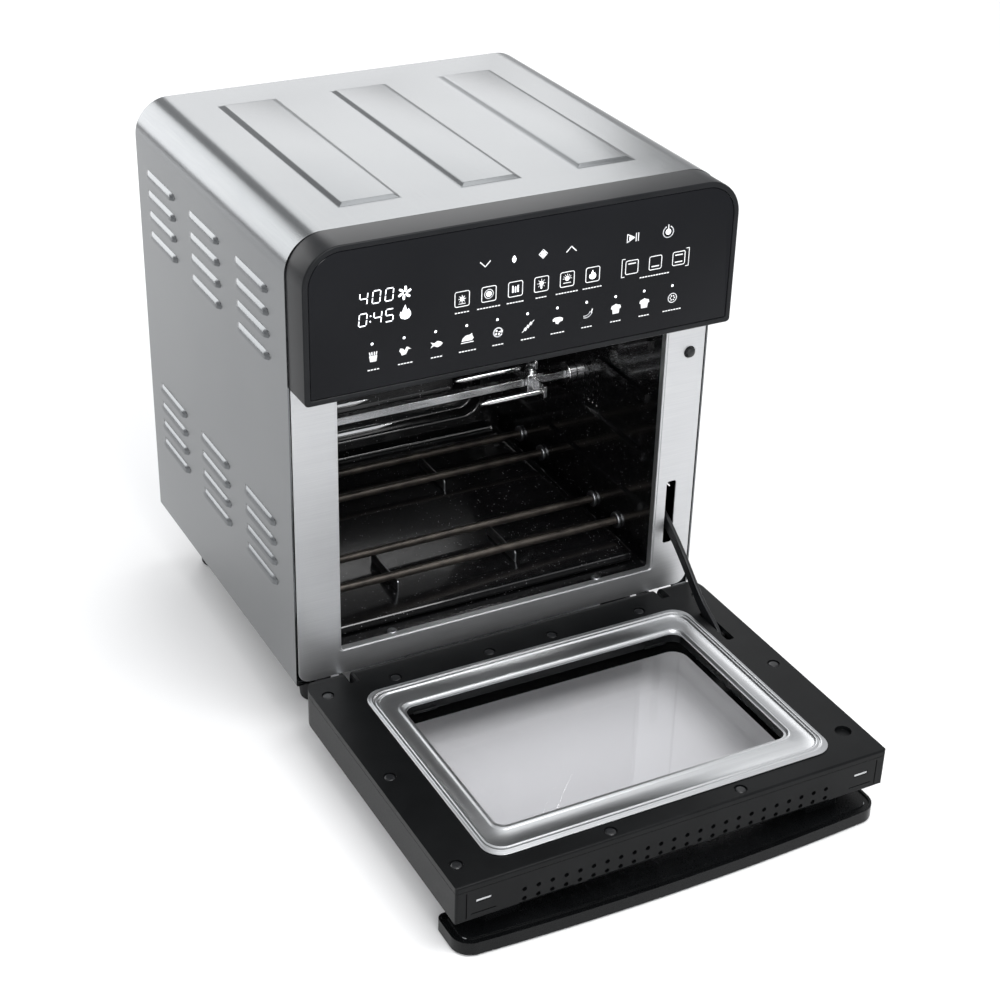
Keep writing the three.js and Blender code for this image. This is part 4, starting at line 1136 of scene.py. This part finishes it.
# The pressed steel frame round the door's window, its two panes and the wall between them.
window = {
    "outerHalf": 133,
    "outerBottom": 24.5,
    "outerTop": 223.5,
    "outerRadius": 14,
    "base": 14.8,
    "spread": (25.5 / 19, 26.5 / 19),  # how much faster it narrows at the bottom and the top
    "profile": (
        # inset from the outer edge, height over the cover
        (0.0, 0.0), (0.0, 0.5), (0.4, 0.8), (1.3, 0.8), (1.9, 1.2), (2.6, 1.5), (3.3, 1.2), (3.7, 0.6),
        (4.0, 0.6), (4.4, 1.0), (4.9, 1.2), (5.4, 0.9), (5.9, 0.2), (6.4, -0.1), (15.4, -0.1), (16.0, 0.3),
        (16.7, 1.0), (17.7, 1.0), (18.5, 0.3), (19.0, -1.0), (20.0, -1.0), (20.0, -1.6), (11.0, -1.2),
    ),
    "wallOuter": ((-117.5, 46.5), (117.5, 200.5), 11),
    "wallInner": ((-114.6, 49.4), (114.6, 197.6), 8),
    "wallBack": 5.2,
    "clips": ((-60, 197.6), (40, 197.6), (-95, 49.4), (95, 49.4)),
    "pane": ((-122, 42), (122, 205), 4, 0.7, 4.5),
    "borderOuter": ((-156.2, -2.2), (156.2, 230.2), (13, 13, 2.5, 2.5)),
    "borderInner": ((-124, 40), (124, 207), 12),
    "borderLevel": (11.2, 11.45),
}


def windowRing(inset, height):
    radius = max(window["outerRadius"] - inset * 0.32, 8)
    low, high = window["spread"]
    bottom, top = window["outerBottom"] + inset * low, window["outerTop"] - inset * high
    return sized(window["outerHalf"] - inset, bottom, top, radius, window["base"] + height)


def makeWindow():
    trim = loftRings([windowRing(inset, height) for inset, height in window["profile"]], 8)
    bmesh.ops.transform(trim, matrix=toBack, verts=trim.verts)
    finishPiece("windowTrim", trim, steelTrim, "door", ["door_window_frame"], doorPlace, angle=50)
    back = window["wallBack"]
    wall = ringSlab(window["wallOuter"], window["wallInner"], back, window["base"] - 1.8, 8)
    bmesh.ops.transform(wall, matrix=toBack, verts=wall.verts)
    for x, z in window["clips"]:
        addPart(wall, blockPart((x - 9, back, z - 1.5), (x + 9, back + 2.2, z + 1.5), 0.3))
    finishPiece("windowWall", wall, doorPlastic, "door", [], doorPlace, 0.3)
    pane = roundedSlab(*window["pane"])
    bmesh.ops.transform(pane, matrix=toBack, verts=pane.verts)
    finishPiece("innerPane", pane, clearPane, "door", ["door_inner_glass"], doorPlace)
    outer = copyOf("door_outer_glass", doorPlace)
    finishPiece("outerPane", outer, tintedPane, "door", ["door_outer_glass"], doorPlace)
    border = ringSlab(window["borderOuter"], window["borderInner"], *window["borderLevel"], 8)
    bmesh.ops.transform(border, matrix=toY, verts=border.verts)
    finishPiece("paneBorder", border, frit, "door", [], doorPlace)


makeWindow()

# The handle: a flat bar whose long outer edge bows out, on two posts.
handle = {
    "half": 163,
    "inner": 207,
    "end": 242,
    "bow": 5,
    "bowBand": 20,  # how far in from the long edge it is pulled out
    "far": 41,
    "near": 31.5,
    "radii": (5, 5, 14, 14),
    "ovenPanel": ((1.8, 0), (0.3, -1.1), (3.2, 0), (0.3, 1.0)),  # inset and depth of each step
    "outerPanel": ((6, 0), (0.6, -0.8)),
    "postX": 125,
    "postHalf": 14,
    "postLevels": (212, 226),
    "postReach": (14.9, 33),
    "screwY": -8.2,
    "screwZ": 219,
    "smallScrew": (154, 232),
}


def makeHandle():
    half, end, band = handle["half"], handle["end"], handle["bowBand"]
    bm = bmesh.new()
    outlineFace(bm, (-half, handle["inner"]), (half, end), handle["radii"], 10)
    outside = [e for e in bm.edges if min(v.co.y for v in e.verts) > end - 0.01]
    bmesh.ops.subdivide_edges(bm, edges=[e for e in outside if e.calc_length() > 50], cuts=24)
    reach = half - handle["radii"][2]
    for vert in bm.verts:
        across = min(1, abs(vert.co.x) / reach)
        share = max(0, (vert.co.y - end + band) / band)
        vert.co.y += handle["bow"] * (1 - across ** 2) * share
    bmesh.ops.translate(bm, verts=bm.verts, vec=(0, 0, handle["near"]))
    made = bmesh.ops.extrude_face_region(bm, geom=bm.faces[:])["geom"]
    raised = [g for g in made if isinstance(g, bmesh.types.BMVert)]
    bmesh.ops.translate(bm, verts=raised, vec=(0, 0, handle["far"] - handle["near"]))
    bmesh.ops.recalc_face_normals(bm, faces=bm.faces)
    for pick, steps in ((min, handle["ovenPanel"]), (max, handle["outerPanel"])):
        face = pick(bm.faces, key=lambda f: f.calc_center_median().z)
        for thickness, depth in steps:
            bmesh.ops.inset_individual(bm, faces=[face], thickness=thickness, depth=depth)
    bmesh.ops.transform(bm, matrix=toY, verts=bm.verts)
    posts = (-handle["postX"], handle["postX"])
    low, high = handle["postLevels"]
    for x in posts:
        outline = ((x - handle["postHalf"], low), (x + handle["postHalf"], high))
        addPart(bm, roundedSlab(*outline, 4, *handle["postReach"]), toY)
    finishPiece("doorHandle", bm, handlePlastic, "door", ["door_handle"], doorPlace, 0.7, segments=3)
    screws = bmesh.new()
    smallX, smallZ = handle["smallScrew"]
    for x in posts:
        place = Matrix.Translation((x, handle["screwY"], handle["screwZ"])) @ toBack
        addPart(screws, screwPart(4, 1.6), place)
        addPart(screws, cylinderPart(2, -17.8, 0.2), place)
        smallPlace = Matrix.Translation((math.copysign(smallX, x), -handle["near"] - 1.1, smallZ)) @ toBack
        addPart(screws, screwPart(2.6, 0.7), smallPlace)
    nodes = ["handle_screw_left", "handle_screw_right"]
    finishPiece("handleScrews", screws, steelArm, "door", nodes, doorPlace)


makeHandle()

# Pressed arm and the pins it turns on.
arm = copyOf("stay_arm")
finishPiece("stayArm", arm, armPlastic, "stay_arm", ["stay_arm"], bevel=0.6, segments=3)
for name, body, nodes, bevel in (
    ("doorPins", "door", ["hinge_pin_left", "hinge_pin_right", "stay_pin"], 0.5),
    ("hingeBrackets", "cabinet", ["hinge_bracket_left", "hinge_bracket_right"], 0.4),
):
    fittings = bmesh.new()
    for node in nodes:
        addPart(fittings, copyOf(node))
    finishPiece(name, fittings, steelArm, body, nodes, bevel=bevel)
print("door ready")

# The cooking cavity. Only the rear wall and the tray are built afresh.
cavity = {
    "sillScrews": (-86, 86),
    "sillY": 8,
    "sillZ": 20.3,
    "wallBevel": 0.9,
    "rearY": 262.3,
    "rearHalf": 135.2,
    "rearBottom": 17.0,
    "rearTop": 241.2,
    "recessHalf": 118,
    "recessBottom": 36,
    "recessTop": 218,
    "recessRadius": 17,
    "recessRoll": 2.6,
    "recessDepth": 11,
    "sheet": 1.2,
    "holeRows": (116, 122.5, 129, 135.5, 142),
    "holeYs": (100, 106.5, 113, 119.5),
    "holeRadius": 1.5,
    "holeReach": (128, 140),
    "tray": (
        # half width, front, back, corner radius, height, round the rolled rim
        (127, 19, 256, 5, 21.1), (127, 19, 256, 5, 26.4), (126.4, 19.6, 255.4, 4.4, 27.1),
        (125.6, 20.4, 254.6, 3.6, 27.1), (125, 21, 254, 3.4, 26.4), (124.4, 21.6, 253.4, 3.2, 22.6),
        (123.4, 22.6, 252.4, 3, 22.1),
    ),
}


def pressedRear():
    roll, depth = cavity["recessRoll"], cavity["recessDepth"]

    def ring(inset, height):
        half, radius = cavity["recessHalf"] - inset, max(cavity["recessRadius"] - inset * 0.6, 3)
        return sized(half, cavity["recessBottom"] + inset, cavity["recessTop"] - inset, [radius] * 4, height)

    rings = [sized(cavity["rearHalf"], cavity["rearBottom"], cavity["rearTop"], [1] * 4, 0)]
    for step in range(5):
        angle = step * math.pi / 8
        rings.append(ring(roll * math.sin(angle), -roll * (1 - math.cos(angle))))
    for step in range(5):
        angle = step * math.pi / 8
        rings.append(ring(2 * roll + 1 - roll * math.cos(angle), -depth + roll - roll * math.sin(angle)))
    rings += [ring(22, -depth), ring(22.8, -depth + 0.8), ring(25, -depth + 0.8), ring(25.8, -depth)]
    bm = loftRings(rings, 8, closed=False, caps=(False, True))
    bmesh.ops.transform(bm, matrix=Matrix.Translation((0, cavity["rearY"], 0)) @ toY, verts=bm.verts)
    facing = max(bm.faces, key=lambda f: f.calc_area())
    if facing.normal.y > 0:
        bmesh.ops.reverse_faces(bm, faces=bm.faces)
    bmesh.ops.solidify(bm, geom=bm.faces[:], thickness=cavity["sheet"])
    return bm


def makeCavity():
    collar = copyOf("cavity_collar")
    finishPiece("ovenCollar", collar, enamel, "cabinet", ["cavity_collar"], bevel=0.4)
    low, high = cavity["holeReach"]
    for side in ("left", "right"):
        wall = copyOf(f"cavity_{side}_wall")
        if side == "right":
            holes = bmesh.new()
            for z in cavity["holeRows"]:
                for y in cavity["holeYs"]:
                    hole = cylinderPart(cavity["holeRadius"], low, high, 10)
                    addPart(holes, hole, Matrix.Translation((0, y, z)) @ toX)
            wall = carve(wall, holes)
        finishPiece(f"oven{side.title()}Wall", wall, enamel, "cabinet", [f"cavity_{side}_wall"],
                    bevel=cavity["wallBevel"], segments=3)
    finishPiece("ovenRearWall", pressedRear(), enamel, "cabinet", ["cavity_rear_wall"], angle=50)
    rings = [sized(half, near, far, [radius] * 4, z) for half, near, far, radius, z in cavity["tray"]]
    tray = loftRings(rings, 6, closed=False)
    finishPiece("crumbTray", tray, enamel, "cabinet", ["crumb_tray"], angle=40)
    screws = bmesh.new()
    for x in cavity["sillScrews"]:
        addPart(screws, screwPart(3.8, 1.6), Matrix.Translation((x, cavity["sillY"], cavity["sillZ"])))
    for x in (-128, 128):
        for z in (60, 200):
            addPart(screws, screwPart(2.6, 1.0), Matrix.Translation((x, cavity["rearY"] - 0.2, z)) @ toY)
    finishPiece("ovenScrews", screws, steelArm, "cabinet", [], angle=25)


makeCavity()

# Sheathed elements: two hairpins over the floor and a ring under the fan.
heating = {
    "tube": 3.2,
    "legs": ((58, 96), (182, 220)),
    "height": 34,
    "end": 142,
    "bend": -104,
    "collarX": 131.2,
    "collar": ((3.3, 0), (6.2, 0), (6.6, 0.5), (6.6, 2.2), (6.2, 2.8), (3.5, 2.8), (3.3, 0)),
    "strapXs": (-60, 40),
    "ringRadius": 71.8,
    "ringHeight": 245,
    "ringMiddle": 139,
    "leadAngle": 0.16,
    "leadLevels": (291.5, 270, 256),
}


def makeHeaters():
    for name, node, (near, far) in (
        ("frontHairpin", "lower_heater_front", heating["legs"][0]),
        ("rearHairpin", "lower_heater_rear", heating["legs"][1]),
    ):
        half = (far - near) / 2
        z = heating["height"]
        points = [(heating["end"], near, z), (90, near, z), (0, near, z), (heating["bend"], near, z)]
        for i in range(1, 12):
            angle = math.pi * i / 12
            points.append((heating["bend"] - half * math.sin(angle), near + half - half * math.cos(angle), z))
        points += [(heating["bend"], far, z), (0, far, z), (90, far, z), (heating["end"], far, z)]
        bm = tubePart(points, heating["tube"], 4)
        finishPiece(name, bm, sheath, "cabinet", [node], angle=50)
    fittings = bmesh.new()
    for y in (*heating["legs"][0], *heating["legs"][1]):
        place = Matrix.Translation((heating["collarX"], y, heating["height"])) @ toX
        addPart(fittings, turnedPart(heating["collar"], 24), place)
    for x in heating["strapXs"]:
        for near, far in heating["legs"]:
            strap = roundedSlab((near - 5, 20), (far + 5, 31), 2, x - 0.6, x + 0.6, 3)
            addPart(fittings, strap, toX)
    finishPiece("heaterFittings", fittings, steelArm, "cabinet", [], bevel=0.2)
    ring = []
    radius, middle = heating["ringRadius"], heating["ringMiddle"]
    for i in range(41):
        angle = heating["leadAngle"] + (math.tau - 2 * heating["leadAngle"]) * i / 40
        ring.append((radius * math.cos(angle), middle + radius * math.sin(angle), heating["ringHeight"]))
    lead = [(*ring[0][:2], z) for z in heating["leadLevels"]]
    tail = [(*ring[-1][:2], z) for z in reversed(heating["leadLevels"])]
    bm = tubePart(lead + ring + tail, heating["tube"] * 0.99, 3)
    finishPiece("ringElement", bm, sheath, "cabinet", ["upper_heating_element"], angle=50)


makeHeaters()
print("cavity ready")

# The rotisserie: bright square bar, sliding forks with thumb screws, and its rest.
spit = {
    "y": 139,
    "z": 129,
    "forkX": 96,
    "screw": (
        # radius and height from the bar's middle to the rounded end
        (0, 3.3), (2, 3.3), (2, 7.6), (4.2, 7.6), (4.6, 8), (4.6, 10.8), (4.0, 11.4), (2.4, 12.4), (1.6, 13),
        (0, 13),
    ),
    "wing": ((0.6, 10), (8.6, 21), (1.5, 3.5, 3.5, 1.2), -1.1, 1.1, 5),
    "lens": ((0, 0), (13.4, 0), (14.6, 0.5), (15, 1.2), (15, 2.4), (13.6, 2.7), (11, 2.2), (0, 1.4)),
    "lensPlace": (135.2, 108, 179),
}


def makeSpit():
    bar = copyOf("spit_shaft")
    finishPiece("spitBar", bar, chrome, "spit", ["spit_shaft"], bevel=0.45, segments=3)
    for side, sign in (("left", -1), ("right", 1)):
        fork = copyOf(f"meat_fork_{side}")
        finishPiece(f"{side}Fork", fork, chrome, "spit", [f"meat_fork_{side}"], bevel=0.5, segments=3)
        screw = turnedPart(spit["screw"], 20)
        for turn in (0, math.pi):
            wing = roundedSlab(*spit["wing"])
            bmesh.ops.transform(wing, matrix=Matrix.Rotation(math.pi / 2, 4, "X"), verts=wing.verts)
            addPart(screw, wing, Matrix.Rotation(math.pi / 2 + turn, 4, "Z"))
        bmesh.ops.translate(screw, verts=screw.verts, vec=(sign * spit["forkX"], spit["y"], spit["z"]))
        finishPiece(f"{side}ForkScrew", screw, chrome, "spit", [f"fork_screw_{side}"], bevel=0.35)
    socket = copyOf("drive_socket")
    finishPiece("driveSocket", socket, chrome, "spit", ["drive_socket"], bevel=0.6, segments=3)
    rest = copyOf("spit_rest")
    finishPiece("spitRest", rest, chrome, "cabinet", ["spit_rest"], bevel=0.45, segments=3)
    probe = copyOf("temperature_probe")
    finishPiece("thermostatProbe", probe, steelArm, "cabinet", ["temperature_probe"], bevel=0.4)
    guard = copyOf("fan_guard")
    finishPiece("fanGuard", guard, steelBack, "cabinet", ["fan_guard"], bevel=0.25)
    lens = turnedPart(spit["lens"], 40)
    place = Matrix.Translation(spit["lensPlace"]) @ toX @ Matrix.Rotation(math.pi, 4, "X")
    bmesh.ops.transform(lens, matrix=place, verts=lens.verts)
    finishPiece("lampLens", lens, lensGlass, "cabinet", ["lamp_lens"], angle=60)


makeSpit()

# The back, the underside, the feet and the fittings.
backSettings = {
    "screws": ((-150, 20), (150, 20), (-150, 175), (150, 175), (-140, 325), (140, 325), (0, 328), (0, 14)),
    "screwRadius": 3.9,
    "screwY": 291.4,
    "baseScrewXs": (-120, 120),
    "baseScrewYs": (86, 220),
    "baseScrewZ": -17.9,
    "footX": 131,
    "footYs": (50, 262),
    "foot": (
        # radius and height, from the recess under the pad to the top
        (0, -43.5), (3.6, -43.5), (4, -43.9), (4, -47.2), (4.4, -47.5), (9.6, -47.5), (10.6, -47),
        (11, -45.9), (12.4, -32), (13.4, -22.5), (13.0, -21.9), (13.0, -21.1), (14, -20.5), (14, -18.3),
        (0, -18.3),
    ),
    "glandPlace": (108, 293, 42),
    "gland": (
        (4, -16), (8.8, -16), (8.8, -1.2), (11.4, -1.2), (12, -0.6), (12, 2), (11.4, 2.6), (9.8, 2.6),
        (9.2, 3.2), (9.6, 3.8), (9.0, 4.4), (9.2, 5.0), (8.6, 5.8), (8.2, 6), (5, 6), (4.2, 5.2), (4, 4),
        (4, -16),
    ),
    "plungerPlace": (150.5, 0, 202.6),
    "plunger": ((0, 2.6), (2.8, 2.4), (3.6, 1.8), (4, 0.8), (4, -2.6), (2, -2.6), (2, -9), (0, -9)),
}


def makeBackAndBase():
    panel = copyOf("back_panel")
    finishPiece("backPanel", panel, steelBack, "cabinet", ["back_panel"], bevel=0.3)
    screws = bmesh.new()
    for x, z in backSettings["screws"]:
        place = Matrix.Translation((x, backSettings["screwY"], z)) @ toBack
        addPart(screws, screwPart(backSettings["screwRadius"], 1.9), place)
    for x in backSettings["baseScrewXs"]:
        for y in backSettings["baseScrewYs"]:
            place = Matrix.Translation((x, y, backSettings["baseScrewZ"])) @ Matrix.Rotation(math.pi, 4, "X")
            addPart(screws, screwPart(3.4, 1.6), place)
    finishPiece("backAndBaseScrews", screws, steelArm, "cabinet", [], angle=25)
    pan = copyOf("base_pan")
    finishPiece("basePan", pan, armPlastic, "cabinet", ["base_pan"], bevel=0.6, segments=3)
    for side, sign in (("left", -1), ("right", 1)):
        for row, y in zip(("front", "rear"), backSettings["footYs"]):
            foot = turnedPart(backSettings["foot"], 40)
            bmesh.ops.translate(foot, verts=foot.verts, vec=(sign * backSettings["footX"], y, 0))
            name, node = f"{row}{side.title()}Foot", f"foot_{row}_{side}"
            finishPiece(name, foot, rubber, "cabinet", [node], angle=40)
    gland = turnedPart(backSettings["gland"], 32)
    place = Matrix.Translation(backSettings["glandPlace"]) @ toBack
    bmesh.ops.transform(gland, matrix=place, verts=gland.verts)
    finishPiece("powerInletGland", gland, rubber, "cabinet", ["power_inlet_gland"], angle=35)
    plunger = turnedPart(backSettings["plunger"], 24)
    place = Matrix.Translation(backSettings["plungerPlace"]) @ toY
    bmesh.ops.transform(plunger, matrix=place, verts=plunger.verts)
    node = "door_switch_plunger"
    finishPiece("doorSwitchPlunger", plunger, armPlastic, node, [node], angle=40)


makeBackAndBase()

# Hidden works and plain pressings keep their shape and take a finish.
finishes = {
    "cavity_roof": enamel,
    "cavity_floor": enamel,
    "fan_drum": steelBack,
    "fan_wheel": steelBack,
    "fan_motor": steelBack,
    "rotisserie_motor": steelBack,
    "oven_lamp": ceramic,
    "touch_board": board,
    "power_board": board,
    "door_switch_body": armPlastic,
}
for node, material in finishes.items():
    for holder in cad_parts[node].material_slots:
        holder.material = material
print("underside and back ready")

# The camera, the lights and the floor.
studio = {
    "lens": 71.19,
    "sensor": 36,
    "location": (-0.5944, -1.10805, 0.8689),
    "forward": (0.41388, 0.76404, -0.49492),
    "roll": 1.65,
    "floorSize": 16,
    "worldColour": "#f2f3f5",
    "worldStrength": 0.86,
    "lights": (
        # name, width, height, place, watts
        ("doorSoftbox", 0.6, 0.5, (0.05, -0.6, 1.0), 7),
        ("backSoftbox", 1.3, 1.5, (1.0, 2.5, 1.75), 15),
        ("backLeftSoftbox", 1.5, 1.5, (-1.05, 2.4, 1.0), 26),
        ("roofSoftbox", 0.8, 0.8, (0.75, 0.95, 2.3), 6),
        ("frontFill", 0.35, 0.25, (-0.35, -1.3, 0.75), 4),
    ),
    "cavityLamp": ("cavityLamp", 0.14, 0.05, (0.09, 0.05, 0.281), 0.3),
    "cavityTarget": (-0.1, 0.235, 0.2),
    "target": (0.0, 0.0, 0.2),
}


def makeStudio():
    scene = bpy.context.scene
    camera = bpy.data.objects.new("camera", bpy.data.cameras.new("camera"))
    camera.data.lens = studio["lens"]
    camera.data.sensor_width = studio["sensor"]
    camera.data.clip_end = 50
    forward = Vector(studio["forward"]).normalized()
    turn = (forward.to_track_quat("-Z", "Y").to_matrix()
            @ Matrix.Rotation(math.radians(studio["roll"]), 3, "Z")).to_4x4()
    camera.matrix_world = Matrix.Translation(studio["location"]) @ turn
    scene.collection.objects.link(camera)
    scene.camera = camera
    lamps = [(*lamp, studio["target"]) for lamp in studio["lights"]]
    lamps.append((*studio["cavityLamp"], studio["cavityTarget"]))
    for name, width, depth, place, power, target in lamps:
        lamp = bpy.data.lights.new(name, "AREA")
        lamp.shape = "RECTANGLE"
        lamp.size = width
        lamp.size_y = depth
        lamp.energy = power
        holder = bpy.data.objects.new(name, lamp)
        aim = Vector(target) - Vector(place)
        holder.matrix_world = Matrix.Translation(place) @ aim.to_track_quat("-Z", "Y").to_matrix().to_4x4()
        scene.collection.objects.link(holder)
    world = bpy.data.worlds.new("studio")
    scene.world = world
    world.use_nodes = True
    back = world.node_tree.nodes["Background"]
    back.inputs["Color"].default_value = linear(studio["worldColour"])
    back.inputs["Strength"].default_value = studio["worldStrength"]
    scene.view_settings.view_transform = "Standard"
    bm = bmesh.new()
    bmesh.ops.create_grid(bm, x_segments=1, y_segments=1, size=studio["floorSize"] / 2)
    mesh = bpy.data.meshes.new("floor")
    bm.to_mesh(mesh)
    bm.free()
    floor = bpy.data.objects.new("floor", mesh)
    scene.collection.objects.link(floor)
    paper, shader = newMaterial("matteWhitePaper", {"Roughness": 0.9})
    fibre = grain(paper, (333.3, 333.3, 333.3), 2, 0.5)
    mesh.materials.append(finishMaterial(paper, shader, shaded(paper, fibre, "#f4f4f4", "#f7f7f7")))


makeStudio()
print("studio ready")
